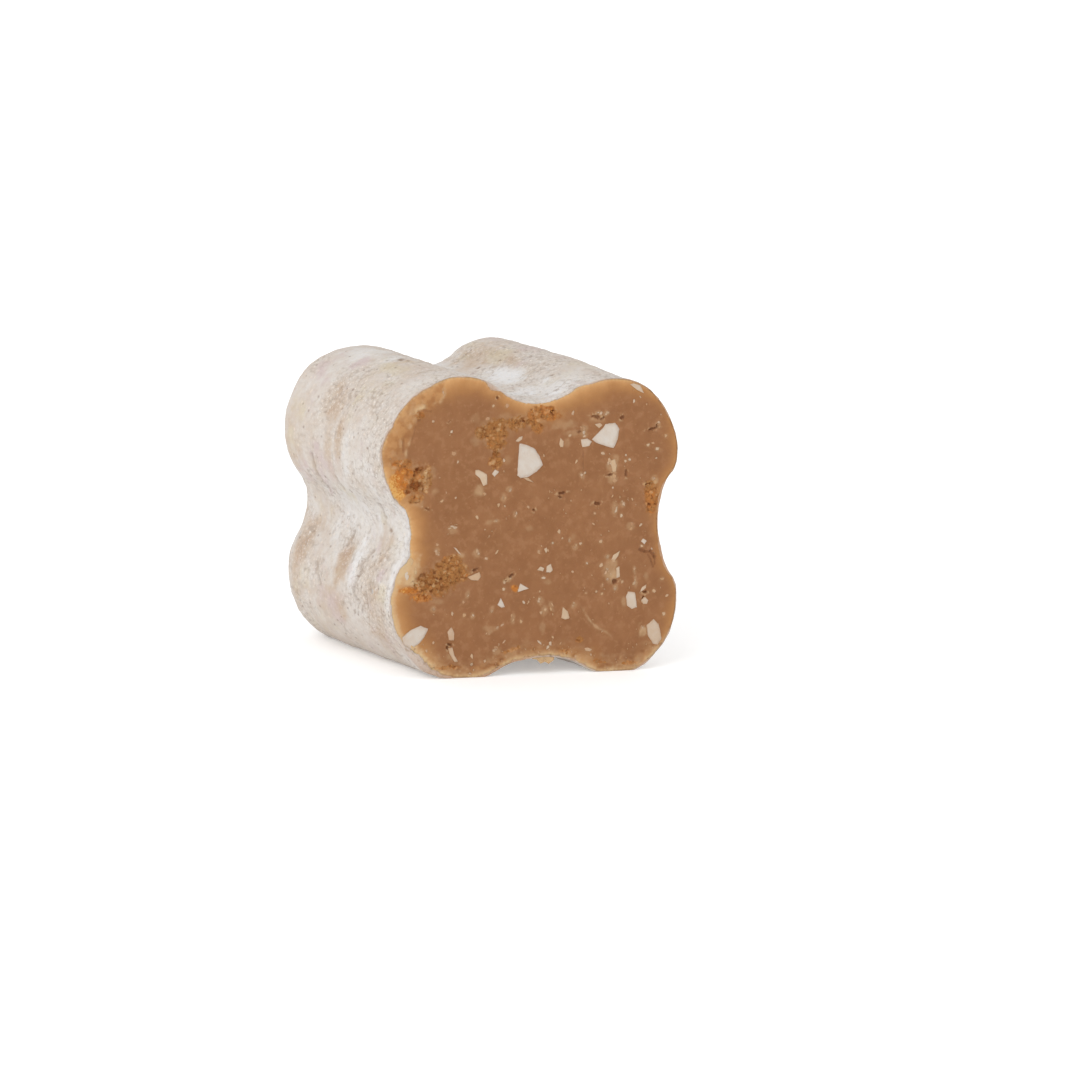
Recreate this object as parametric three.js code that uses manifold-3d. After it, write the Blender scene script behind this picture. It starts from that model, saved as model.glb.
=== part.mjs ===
import * as THREE from "three";
import { mergeVertices } from "three/addons/utils/BufferGeometryUtils.js";
import Module from "manifold-3d";

// Half of a clover-shaped chocolate truffle, cut across with a knife. Millimetres, +Z up.
// The cut face looks towards -Y, the rounded end towards +Y. Both lower lobes rest on z = 0.

const wasm = await Module();
wasm.setup();

// The section as seen from the cut face: four round lobes, counterclockwise from the lower left,
// and the radius of the hollow that follows each of them.
const LOBES = [
  { x: -4.93, z: 5.15, r: 5.3 },
  { x: 6.39, z: 4.47, r: 4.62 },
  { x: 5.79, z: 15.95, r: 4.83 },
  { x: -5.59, z: 15.5, r: 5.4 },
];
const HOLLOW_RADII = [6.8, 7.8, 5.0, 3.3];
const AXIS = { x: 0, z: 11 };

// The cut runs a little slanted, so the right side is longer than the left.
const CUT_SLOPE_X = -0.213;
const CUT_SLOPE_Z = 0.063;
const LENGTH = 16.3;
const END_ROUND = 2.5;
const END_DOME = 0.25;
const GROWTH = 0.014;
const RIM_WEAR = 0.12;
const RIM_DEPTH = 0.25;

// Mesh fineness.
const AROUND = 116;
const ALONG = 18;
const END_STEPS = 5;
const END_RINGS = [0.74, 0.46, 0.2];
const WELD = 1e-4;
const FINEST_EDGE = 0.02;

// Uneven surface: cells around the section, cell length along the axis and height of each layer.
const LUMPS = [
  { cells: 14, length: 5.0, height: 0.15 },
  { cells: 38, length: 2.2, height: 0.09 },
];

// Hazelnut pieces in the cut face: x, z, width, height and turn in degrees.
const NUTS = [
  [-0.4, 15.0, 1.9, 2.5, 0],
  [5.3, 16.6, 2.1, 1.8, 20],
  [3.9, 16.2, 0.9, 0.8, 0],
  [-3.9, 13.9, 1.0, 1.3, 10],
  [5.8, 14.5, 0.6, 0.9, 0],
  [2.0, 16.3, 0.5, 0.6, 0],
  [7.7, 19.8, 0.9, 0.7, -25],
  [6.1, 11.5, 0.5, 0.5, 0],
  [8.2, 9.1, 0.5, 0.5, 0],
  [6.1, 8.1, 0.7, 0.7, 0],
  [6.2, 7.0, 0.7, 0.9, 0],
  [1.1, 7.3, 1.1, 0.7, 15],
  [-0.6, 6.2, 0.7, 0.6, 0],
  [-4.3, 7.1, 0.9, 0.6, 0],
  [-5.5, 9.0, 0.4, 0.8, 30],
  [-2.2, 5.2, 0.6, 0.7, 0],
  [2.5, 4.3, 0.8, 0.9, 0],
  [1.0, 4.3, 0.4, 1.0, -10],
  [-1.5, 4.0, 0.5, 0.9, -10],
  [7.5, 5.1, 0.8, 1.2, 0],
  [8.4, 4.9, 0.6, 0.7, 0],
  [9.2, 2.8, 1.0, 1.8, 15],
  [-8.3, 3.1, 2.1, 1.2, 35],
  [-5.8, 2.5, 0.7, 1.7, 0],
  [4.3, 1.6, 0.7, 0.4, 0],
];
const NUT_PROUD = 0.2;
const NUT_DEPTH = 0.5;
const NUT_SLANT = 0.8;

// Pockets of biscuit crumb in the cut face: x, z, width, height, turn in degrees, crumbs.
const POCKETS = [
  [-9.0, 13.9, 3.0, 2.2, 0, 8],
  [-2.8, 16.4, 1.7, 3.3, -15, 8],
  [0.8, 17.9, 2.6, 1.3, 10, 6],
  [-6.8, 7.0, 4.6, 1.8, 32, 11],
  [8.9, 12.2, 0.9, 2.1, 0, 4],
  [8.8, 8.0, 1.4, 0.8, -20, 3],
];
const POCKET_DEPTH = 0.45;
const CRUMB_SIZE = 0.42;

// A bite out of the upper rim and a torn scrap at the lower rim: x, z and size.
const NICK = { x: -2.9, z: 20.2, size: 0.45 };
const SCRAP = { x: 1.2, z: 1.25, width: 1.1, height: 0.9, depth: 0.35 };

// A repeatable value from 0 to 1 for a whole-numbered place.
function draw(i, j, layer) {
  const wave = Math.sin(i * 127.1 + j * 311.7 + layer * 74.7) * 43758.5453;
  return wave - Math.floor(wave);
}

// Smooth noise from -1 to 1 that closes on itself around the section.
function noise(around, along, cells, layer) {
  const u = around * cells;
  const i = Math.floor(u);
  const j = Math.floor(along);
  const ease = (value) => value * value * (3 - 2 * value);
  const blend = (a, b, k) => a + (b - a) * k;
  const row = (line) => {
    const here = draw(i % cells, line, layer);
    const next = draw((i + 1) % cells, line, layer);
    return blend(here, next, ease(u - i));
  };
  return 2 * blend(row(j), row(j + 1), ease(along - j)) - 1;
}

function lump(around, y) {
  const heights = LUMPS.map((one, layer) => {
    return one.height * noise(around, y / one.length, one.cells, layer);
  });
  return heights.reduce((sum, height) => sum + height, 0);
}

function cutY(x, z) {
  return CUT_SLOPE_X * (x - AXIS.x) + CUT_SLOPE_Z * (z - AXIS.z);
}

// Centre of the circle that touches two neighbouring lobes from outside.
function hollowCentre(a, b, radius) {
  const gap = Math.hypot(b.x - a.x, b.z - a.z);
  const ux = (b.x - a.x) / gap;
  const uz = (b.z - a.z) / gap;
  const fromA = a.r + radius;
  const fromB = b.r + radius;
  const along = (fromA ** 2 - fromB ** 2 + gap ** 2) / (2 * gap);
  const out = Math.sqrt(fromA ** 2 - along ** 2);
  return { x: a.x + ux * along + uz * out, z: a.z + uz * along - ux * out };
}

// An arc about c that starts facing p and ends facing q. turn is 1 on a lobe and -1 in a hollow.
function arc(c, radius, p, q, turn) {
  const start = Math.atan2(p.z - c.z, p.x - c.x);
  const end = Math.atan2(q.z - c.z, q.x - c.x);
  const sweep = THREE.MathUtils.euclideanModulo((end - start) * turn, 2 * Math.PI);
  return { c, radius, start, turn, length: sweep * radius };
}

function sectionArcs() {
  const next = (i) => LOBES[(i + 1) % LOBES.length];
  const hollows = LOBES.map((lobe, i) => hollowCentre(lobe, next(i), HOLLOW_RADII[i]));
  return LOBES.flatMap((lobe, i) => {
    const before = hollows[(i + LOBES.length - 1) % LOBES.length];
    const after = hollows[i];
    return [
      arc(lobe, lobe.r, before, after, 1),
      arc(after, HOLLOW_RADII[i], lobe, next(i), -1),
    ];
  });
}

// Evenly spaced points of the section with their outward normals.
function outline(count) {
  const arcs = sectionArcs();
  const total = arcs.reduce((sum, one) => sum + one.length, 0);
  return Array.from({ length: count }, (_, i) => {
    let left = (i / count) * total;
    let k = 0;
    while (left > arcs[k].length) {
      left -= arcs[k].length;
      k += 1;
    }
    const { c, radius, start, turn } = arcs[k];
    const angle = start + (turn * left) / radius;
    const nx = Math.cos(angle);
    const nz = Math.sin(angle);
    return {
      x: c.x + radius * nx,
      z: c.z + radius * nz,
      nx: nx * turn,
      nz: nz * turn,
      around: i / count,
    };
  });
}

// One ring of points: the section moved in by inset, with its lumps, flat where it rests.
function ring(section, yOf, inset, shrink = 1) {
  return section.map((p) => {
    const y = yOf(p);
    const size = shrink * (1 + (GROWTH * y) / LENGTH);
    const out = shrink * (lump(p.around, y) - inset);
    const x = AXIS.x + (p.x - AXIS.x) * size + p.nx * out;
    const z = Math.max(0, AXIS.z + (p.z - AXIS.z) * size + p.nz * out);
    return new THREE.Vector3(x, y, z);
  });
}

// The rings from the worn rim of the cut to the middle of the rounded end.
function rings() {
  const section = outline(AROUND);
  const shoulder = LENGTH - END_ROUND;
  const all = [ring(section, (p) => cutY(p.x, p.z), RIM_WEAR)];
  for (let k = 0; k <= ALONG; k += 1) {
    const share = k / ALONG;
    const yOf = (p) => {
      const front = cutY(p.x, p.z) + RIM_DEPTH;
      return front + (shoulder - front) * share;
    };
    all.push(ring(section, yOf, 0));
  }
  for (let k = 1; k <= END_STEPS; k += 1) {
    const angle = (k / END_STEPS) * (Math.PI / 2);
    const y = shoulder + END_ROUND * Math.sin(angle);
    all.push(ring(section, () => y, END_ROUND * (1 - Math.cos(angle))));
  }
  for (const shrink of END_RINGS) {
    const y = LENGTH + END_DOME * (1 - shrink ** 2);
    all.push(ring(section, () => y, END_ROUND, shrink));
  }
  // The rim lies in the plane of the cut.
  all[0].forEach((point) => {
    point.y = cutY(point.x, point.z);
  });
  return all;
}

function bodyGeometry() {
  const all = rings();
  const points = all.flat();
  const faces = [];
  const at = (k, i) => k * AROUND + (i % AROUND);
  for (let k = 0; k + 1 < all.length; k += 1) {
    for (let i = 0; i < AROUND; i += 1) {
      faces.push(at(k, i), at(k + 1, i), at(k + 1, i + 1));
      faces.push(at(k, i), at(k + 1, i + 1), at(k, i + 1));
    }
  }
  const last = all.length - 1;
  const middle = points.length;
  points.push(new THREE.Vector3(AXIS.x, LENGTH + END_DOME, AXIS.z));
  for (let i = 0; i < AROUND; i += 1) {
    faces.push(at(last, i), middle, at(last, i + 1));
  }
  const rim = all[0].map((point) => new THREE.Vector2(point.x, point.z));
  faces.push(...THREE.ShapeUtils.triangulateShape(rim, []).flat());
  const geometry = new THREE.BufferGeometry().setFromPoints(points);
  geometry.setIndex(faces);
  return geometry;
}

function toSolid(geometry) {
  const bare = geometry.clone();
  bare.deleteAttribute("normal");
  bare.deleteAttribute("uv");
  const welded = mergeVertices(bare, WELD);
  return new wasm.Manifold(
    new wasm.Mesh({
      numProp: 3,
      vertProperties: new Float32Array(welded.attributes.position.array),
      triVerts: new Uint32Array(welded.index.array),
    }),
  );
}

function toGeometry(solid) {
  const mesh = solid.getMesh();
  const geometry = new THREE.BufferGeometry();
  geometry.setAttribute("position", new THREE.BufferAttribute(mesh.vertProperties, 3));
  geometry.setIndex(new THREE.BufferAttribute(mesh.triVerts, 1));
  return geometry;
}

// Turns a piece by turn degrees in the plane of the cut, and sets it at x, z of that plane.
function setInCut(geometry, x, z, turn) {
  const normal = new THREE.Vector3(CUT_SLOPE_X, -1, CUT_SLOPE_Z).normalize();
  const tilt = new THREE.Quaternion().setFromUnitVectors(new THREE.Vector3(0, -1, 0), normal);
  geometry.rotateY(-THREE.MathUtils.degToRad(turn));
  geometry.applyQuaternion(tilt);
  geometry.translate(x, cutY(x, z), z);
  return geometry;
}

// Makes a rounded piece angular: each corner direction gets its own reach.
function roughen(geometry, amount, seed) {
  const place = geometry.attributes.position;
  for (let i = 0; i < place.count; i += 1) {
    const angle = Math.round(Math.atan2(place.getZ(i), place.getX(i)) * 100);
    const level = Math.round(place.getY(i) * 100);
    const reach = 1 - amount * draw(angle === -314 ? 314 : angle, level > 0 ? 1 : 0, seed);
    place.setX(i, place.getX(i) * reach);
    place.setZ(i, place.getZ(i) * reach);
  }
  return geometry;
}

// A low nut chip with slanted flanks that stands a little proud of the cut.
function nut([x, z, width, height, turn], seed) {
  const sides = width * height > 1 ? 9 : 6;
  const geometry = new THREE.CylinderGeometry(1, NUT_SLANT, NUT_PROUD + NUT_DEPTH, sides);
  roughen(geometry, 0.22, seed);
  geometry.scale(width / 2, 1, height / 2);
  geometry.translate(0, (NUT_DEPTH - NUT_PROUD) / 2, 0);
  return toSolid(setInCut(geometry, x, z, turn));
}

function pocket([x, z, width, height, turn], seed) {
  const geometry = roughen(new THREE.IcosahedronGeometry(1, 1), 0.35, 20 + seed);
  geometry.scale(width / 2, POCKET_DEPTH, height / 2);
  return toSolid(setInCut(geometry, x, z, turn));
}

// The crumbs of one pocket, sunk in its floor and spread by a spiral.
function crumbs([x, z, width, height, turn, count], seed) {
  const golden = Math.PI * (3 - Math.sqrt(5));
  const lean = THREE.MathUtils.degToRad(turn);
  return Array.from({ length: count }, (_, i) => {
    const away = 0.7 * Math.sqrt((i + 0.5) / count);
    const across = (away * Math.cos(i * golden) * width) / 2;
    const upward = (away * Math.sin(i * golden) * height) / 2;
    const size = CRUMB_SIZE * (0.7 + 0.5 * draw(i, seed, 5));
    const geometry = new THREE.IcosahedronGeometry(size, 0);
    geometry.rotateX(i);
    geometry.rotateZ(2 * i);
    geometry.translate(0, POCKET_DEPTH * (1 - away ** 2) * 0.7, 0);
    const atX = x + across * Math.cos(lean) - upward * Math.sin(lean);
    const atZ = z + across * Math.sin(lean) + upward * Math.cos(lean);
    return toSolid(setInCut(geometry, atX, atZ, 0));
  });
}

function nick() {
  const geometry = new THREE.IcosahedronGeometry(NICK.size, 0);
  return toSolid(setInCut(geometry, NICK.x, NICK.z, 0));
}

function scrap() {
  const geometry = new THREE.CylinderGeometry(1, NUT_SLANT, SCRAP.depth, 7);
  roughen(geometry, 0.3, 40);
  geometry.scale(SCRAP.width / 2, 1, SCRAP.height / 2);
  geometry.translate(0, SCRAP.depth / 2, 0);
  return toSolid(setInCut(geometry, SCRAP.x, SCRAP.z, 0));
}

// The outer skin alone: a hollow that fusing seals is filled, and a loose scrap is dropped.
function outerBody(solid) {
  return solid.decompose().reduce((a, b) => (a.volume() > b.volume() ? a : b));
}

function truffle() {
  const hollowed = [...POCKETS.map(pocket), nick()].reduce(
    (solid, piece) => solid.subtract(piece),
    toSolid(bodyGeometry()),
  );
  const whole = [...POCKETS.flatMap(crumbs), ...NUTS.map(nut), scrap()].reduce(
    (solid, piece) => solid.add(piece),
    hollowed,
  );
  const geometry = toGeometry(outerBody(whole.simplify(FINEST_EDGE)));
  geometry.computeBoundingBox();
  const middle = geometry.boundingBox.getCenter(new THREE.Vector3());
  geometry.translate(-middle.x, -middle.y, -geometry.boundingBox.min.z);
  geometry.computeVertexNormals();
  const sugared = new THREE.MeshStandardMaterial({
    color: 0xd9cdbf,
    roughness: 0.85,
    metalness: 0,
  });
  const mesh = new THREE.Mesh(geometry, sugared);
  mesh.name = "truffle";
  return mesh;
}

const part = new THREE.Group();
part.add(truffle());

export default part;
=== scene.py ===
import math
from itertools import product

import bmesh
import bpy
import numpy as np
from mathutils import Matrix, Vector
from mathutils.geometry import delaunay_2d_cdt


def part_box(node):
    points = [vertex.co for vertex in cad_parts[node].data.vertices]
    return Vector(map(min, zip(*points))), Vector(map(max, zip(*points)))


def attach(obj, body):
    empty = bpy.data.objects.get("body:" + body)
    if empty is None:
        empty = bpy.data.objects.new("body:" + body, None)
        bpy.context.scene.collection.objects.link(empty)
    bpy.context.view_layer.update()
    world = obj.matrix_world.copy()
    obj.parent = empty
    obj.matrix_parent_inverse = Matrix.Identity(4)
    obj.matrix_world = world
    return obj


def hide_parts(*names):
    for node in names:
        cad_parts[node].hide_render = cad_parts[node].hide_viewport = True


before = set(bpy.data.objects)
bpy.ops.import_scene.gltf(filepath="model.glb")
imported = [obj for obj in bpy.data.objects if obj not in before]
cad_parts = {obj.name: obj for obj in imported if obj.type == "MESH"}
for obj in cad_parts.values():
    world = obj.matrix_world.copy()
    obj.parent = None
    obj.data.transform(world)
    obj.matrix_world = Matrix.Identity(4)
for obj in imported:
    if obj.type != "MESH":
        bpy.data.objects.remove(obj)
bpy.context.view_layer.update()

# Half of a clover-shaped chocolate truffle, cut across with a knife. Lengths are in millimetres,
# in the frame of the section: x to the right and z up as seen from the cut face, y towards the
# rounded end. place() turns them into metres in the frame of the part.

MM = 0.001
NODE = "truffle"

# ---------------------------------------------------------------- the clover section

# Four round lobes, counterclockwise from the lower left, and the hollow that follows each.
LOBES = ((-4.93, 5.15, 5.3), (6.39, 4.47, 4.62), (5.79, 15.95, 4.83), (-5.59, 15.5, 5.4))
HOLLOW_RADII = (6.8, 7.8, 5.0, 3.3)
AXIS_X, AXIS_Z = 0.0, 11.0
# How far back the cut leans per millimetre to the right and up.
CUT_SLOPE_X, CUT_SLOPE_Z = -0.213, 0.063
LENGTH = 16.3
END_ROUND = 2.5
END_DOME = 0.25
# The section grows by this share from the cut to the far end.
GROWTH = 0.014

# Where a lobe and the hollows have their middles, as shares of the way around.
BOTTOM, LOWER_RIGHT, RIGHT, TOP, LEFT = 0.221, 0.341, 0.464, 0.71, 0.973

CUT_NORMAL = np.array((CUT_SLOPE_X, -1.0, CUT_SLOPE_Z))
CUT_NORMAL /= np.linalg.norm(CUT_NORMAL)


def cut_y(x, z):
    return CUT_SLOPE_X * (x - AXIS_X) + CUT_SLOPE_Z * (z - AXIS_Z)


def hollow_centre(a, b, radius):
    """Centre of the circle that touches two neighbouring lobes from outside."""
    gap = math.hypot(b[0] - a[0], b[1] - a[1])
    ux, uz = (b[0] - a[0]) / gap, (b[1] - a[1]) / gap
    from_a, from_b = a[2] + radius, b[2] + radius
    along = (from_a**2 - from_b**2 + gap**2) / (2 * gap)
    out = math.sqrt(from_a**2 - along**2)
    return a[0] + ux * along + uz * out, a[1] + uz * along - ux * out


def arc(centre, radius, p, q, turn):
    """An arc that starts facing p and ends facing q. turn is 1 on a lobe, -1 in a hollow."""
    start = math.atan2(p[1] - centre[1], p[0] - centre[0])
    end = math.atan2(q[1] - centre[1], q[0] - centre[0])
    sweep = ((end - start) * turn) % (2 * math.pi)
    return centre, radius, start, turn, sweep * radius


def section(count):
    """Evenly spaced points of the section, their outward normals and their shares around."""
    following = LOBES[1:] + LOBES[:1]
    hollows = [hollow_centre(a, b, r) for a, b, r in zip(LOBES, following, HOLLOW_RADII)]
    arcs = []
    for i, lobe in enumerate(LOBES):
        arcs.append(arc(lobe[:2], lobe[2], hollows[i - 1], hollows[i], 1))
        arcs.append(arc(hollows[i], HOLLOW_RADII[i], lobe, following[i], -1))
    ends = np.cumsum([one[4] for one in arcs])
    around = np.arange(count) / count
    points, normals = [], []
    for run in around * ends[-1]:
        k = int(np.searchsorted(ends, run, side="right"))
        centre, radius, start, turn, length = arcs[k]
        angle = start + turn * (run - (ends[k] - length)) / radius
        facing = np.array((math.cos(angle), math.sin(angle)))
        points.append(np.array(centre) + radius * facing)
        normals.append(facing * turn)
    return np.array(points), np.array(normals), around, float(ends[-1])


# ---------------------------------------------------------------- repeatable noise


def scatter(i, j, k, seed):
    """A repeatable value from 0 to 1 for whole-numbered places."""
    mixed = i * 374761393 + j * 668265263 + k * 1440662683 + seed * 1013904223
    mixed = (mixed ^ (mixed >> 13)) & 0xFFFFFFFF
    mixed = (mixed * 1274126177) & 0xFFFFFFFF
    return ((mixed ^ (mixed >> 16)) & 0xFFFFFF) / float(0x1000000)


def noise(points, size, seed):
    """Smooth gradient noise, about -1 to 1, with features of the given size."""
    scaled = points / size
    cell = np.floor(scaled).astype(np.int64)
    inside = scaled - cell
    ease = inside**3 * (inside * (inside * 6 - 15) + 10)
    total = np.zeros(len(points))
    for corner in product((0, 1), repeat=3):
        at, away = (cell + corner).T, inside - corner
        slope = sum((2 * scatter(*at, seed * 3 + axis) - 1) * away[:, axis] for axis in range(3))
        a, b, c = np.where(corner, ease, 1 - ease).T
        total += a * b * c * slope
    return total * 1.6


def fractal(points, size, seed, layers=3):
    """Noise with finer and weaker layers, each turned against the last."""
    turn = np.array(((0.8, 0.6, 0.0), (-0.48, 0.64, 0.6), (0.36, -0.48, 0.8)))
    total, strength = np.zeros(len(points)), 1.0
    for layer in range(layers):
        total += strength * noise(points, size, seed + 17 * layer)
        points = points @ turn.T + 31.7
        size, strength = size * 0.5, strength * 0.55
    return total


def cells(points, size, seed):
    """Distance to the nearest of one random centre per cell, and that centre's own value."""
    scaled = points / size
    cell = np.floor(scaled).astype(np.int64)
    nearest = np.full(len(points), 9.0)
    value = np.zeros(len(points))
    for corner in product((-1, 0, 1), repeat=3):
        at = (cell + corner).T
        centre = [c + 0.15 + 0.7 * scatter(*at, seed + 5 * axis) for axis, c in enumerate(at)]
        away = np.linalg.norm(scaled - np.stack(centre, axis=1), axis=1)
        closer = away < nearest
        nearest = np.where(closer, away, nearest)
        value = np.where(closer, scatter(*at, seed + 29), value)
    return nearest, value


def step(low, high, value):
    """0 below low, 1 above high and smooth between."""
    share = np.clip((value - low) / (high - low), 0, 1)
    return share * share * (3 - 2 * share)


def apart(a, b):
    """Distance between two shares around the section, the short way."""
    gap = np.abs(a - b) % 1.0
    return np.minimum(gap, 1 - gap)


def near(around, middle, reach, power=2):
    """1 at the middle, a share around the section, and fading to 0 over the reach."""
    return np.exp(-((apart(around, middle) / reach) ** power))


# The broad lumps, the same as those of the solid: how many around, length and height.
LUMPS = ((14, 5.0, 0.15), (38, 2.2, 0.09))


def lump(around, y):
    total = np.zeros(np.broadcast(around, y).shape)
    for layer, (count, length, height) in enumerate(LUMPS):
        u, v = around * count + 0 * y, y / length + 0 * around
        i, j = np.floor(u), np.floor(v)

        def draw(a, b):
            wave = np.sin(a * 127.1 + b * 311.7 + layer * 74.7) * 43758.5453
            return wave - np.floor(wave)

        def row(line):
            here, following = draw(i % count, line), draw((i + 1) % count, line)
            share = u - i
            return here + (following - here) * share * share * (3 - 2 * share)

        share = v - j
        low, high = row(j), row(j + 1)
        total += height * (2 * (low + (high - low) * share * share * (3 - 2 * share)) - 1)
    return total


# ---------------------------------------------------------------- meshes and looks

# The middle of the solid's box in the frame of the section, and its way into the part's frame.
SOLID_MIDDLE_X, SOLID_MIDDLE_Y = -0.062, 6.887
solid_low, solid_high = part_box(NODE)
OFFSET = np.array((
    (solid_low.x + solid_high.x) / 2 / MM - SOLID_MIDDLE_X,
    (solid_low.y + solid_high.y) / 2 / MM - SOLID_MIDDLE_Y,
    solid_low.z / MM,
))


def place(points):
    """From millimetres of the section frame to metres of the part frame."""
    return (np.asarray(points) + OFFSET) * MM


def new_object(name, data):
    """A new object of the scene."""
    made = bpy.data.objects.new(name, data)
    bpy.context.scene.collection.objects.link(made)
    return made


def add_piece(name, points, faces, marks, material):
    """Adds a named mesh piece of the truffle. marks are its vertex values."""
    mesh = bpy.data.meshes.new(name)
    mesh.from_pydata(place(points).tolist(), [], [tuple(map(int, face)) for face in faces])
    for mark, values in marks.items():
        values = np.asarray(values, dtype=np.float32)
        kind, key = ("FLOAT_VECTOR", "vector") if values.ndim == 2 else ("FLOAT", "value")
        mesh.attributes.new(mark, kind, "POINT").data.foreach_set(key, values.ravel())
    mesh.shade_smooth()
    mesh.validate()
    mesh.update()
    mesh.materials.append(material)
    piece = new_object(name, mesh)
    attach(piece, "root")
    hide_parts(NODE)


def normals_of(points, faces):
    """Vertex normals, weighted by face area."""
    faces = np.asarray(faces)
    a, b, c = (points[faces[:, i]] for i in range(3))
    face_normals = np.cross(b - a, c - a)
    total = np.zeros_like(points)
    for i in range(3):
        np.add.at(total, faces[:, i], face_normals)
    return total / np.maximum(np.linalg.norm(total, axis=1, keepdims=True), 1e-12)


def fan(ring, middle):
    """Triangles from a closed ring of vertex numbers to one vertex."""
    return np.stack([ring, np.full_like(ring, middle), np.roll(ring, -1)], axis=1)


def bridge(outer, inner):
    """Triangles between two closed rings of vertex numbers; inner has as many or half as many."""
    beyond = np.roll(inner, -1)
    if len(inner) == len(outer):
        rows = ((outer, inner, beyond), (outer, beyond, np.roll(outer, -1)))
    else:
        first, middle, last = outer[0::2], outer[1::2], np.roll(outer, -2)[0::2]
        rows = ((first, inner, middle), (middle, inner, beyond), (middle, beyond, last))
    return np.vstack([np.stack(row, axis=1) for row in rows])


def srgb(red, green, blue):
    """Linear colour from display values of 0 to 255."""
    shares = [value / 255 for value in (red, green, blue)]
    linear = [s / 12.92 if s <= 0.04045 else ((s + 0.055) / 1.055) ** 2.4 for s in shares]
    return (*linear, 1.0)


class Nodes:
    """Short calls for the nodes of a material or of the world."""

    def __init__(self, tree):
        self.tree = tree

    def feed(self, socket, value):
        if isinstance(value, bpy.types.NodeSocket):
            self.tree.links.new(value, socket)
        else:
            socket.default_value = value

    def node(self, kind, inputs=(), **settings):
        made = self.tree.nodes.new(kind)
        for name, value in settings.items():
            setattr(made, name, value)
        for key, value in dict(inputs).items():
            self.feed(made.inputs[key], value)
        return made


class Look(Nodes):
    """A material. Its patterns run from about 0 to 1 and their sizes are in millimetres."""

    def __init__(self, name):
        self.material = bpy.data.materials.new(name)
        self.material.use_nodes = True
        super().__init__(self.material.node_tree)

    def mark(self, name, output="Fac"):
        return self.node("ShaderNodeAttribute", attribute_name=name).outputs[output]

    def spot(self, scale=(1, 1, 1)):
        """Object place in millimetres, times scale."""
        made = self.node("ShaderNodeTexCoord")
        return self.stretch(made.outputs["Object"], [1000 * s for s in scale])

    def stretch(self, vector, scale):
        """The vector times scale, turned so that no noise lines up with a surface."""
        inputs = {"Vector": vector, "Scale": tuple(scale), "Rotation": (0.6, 0.5, 0.4)}
        return self.node("ShaderNodeMapping", inputs).outputs["Vector"]

    def grain(self, vector, size, detail=3.0, rough=0.55):
        """Noise with features of the given size."""
        inputs = {"Vector": vector, "Scale": 1 / size, "Detail": detail, "Roughness": rough}
        return self.node("ShaderNodeTexNoise", inputs).outputs["Fac"]

    def dots(self, vector, size):
        """Distance to scattered points, in spacings."""
        inputs = {"Vector": vector, "Scale": 1 / size}
        return self.node("ShaderNodeTexVoronoi", inputs).outputs["Distance"]

    def ramp(self, value, low, high, start=0.0, end=1.0):
        inputs = {"Value": value, "From Min": low, "From Max": high, "To Min": start, "To Max": end}
        made = self.node("ShaderNodeMapRange", inputs, interpolation_type="SMOOTHSTEP")
        return made.outputs["Result"]

    def maths(self, operation, a, b):
        return self.node("ShaderNodeMath", {0: a, 1: b}, operation=operation).outputs[0]

    def varied(self, mark, pattern, size):
        """The value of a mark, made uneven by a pattern."""
        swing = self.maths("MULTIPLY", self.maths("SUBTRACT", pattern, 0.5), size)
        return self.maths("ADD", self.mark(mark), swing)

    def mix(self, share, a, b):
        return self.node("ShaderNodeMix", {0: share, 6: a, 7: b}, data_type="RGBA").outputs[2]

    def tints(self, base, rows):
        """Lays colours over base: pattern, where it starts and is full, strength, colour."""
        for pattern, low, high, strength, *colour in rows:
            base = self.mix(self.ramp(pattern, low, high, 0.0, strength), base, srgb(*colour))
        return base

    def marked(self, base, **colours):
        """Lays each colour over base where the mark of that name says so."""
        for mark, colour in colours.items():
            base = self.mix(self.mark(mark), base, srgb(*colour))
        return base

    def colours(self, value, stops):
        """Colour along value, from rows of place and colour."""
        made = self.node("ShaderNodeValToRGB", {"Fac": value})
        elements = made.color_ramp.elements
        while len(elements) < len(stops):
            elements.new(0.5)
        for element, (at, *colour) in zip(elements, stops):
            element.position = at
            element.color = srgb(*colour)
        return made.outputs["Color"]

    def bumps(self, rows):
        """Fine relief, layer on layer: pattern, height and strength."""
        before = {}
        for pattern, height, strength in rows:
            inputs = {"Height": pattern, "Distance": height * MM, "Strength": strength, **before}
            before = {"Normal": self.node("ShaderNodeBump", inputs).outputs["Normal"]}
        return before["Normal"]

    def finish(self, **sockets):
        """The material, with these values and patterns in its shader."""
        shader = self.tree.nodes["Principled BSDF"]
        for name, value in sockets.items():
            self.feed(shader.inputs[name.replace("_", " ")], value)
        return self.material


# ---------------------------------------------------------------- looks


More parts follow.
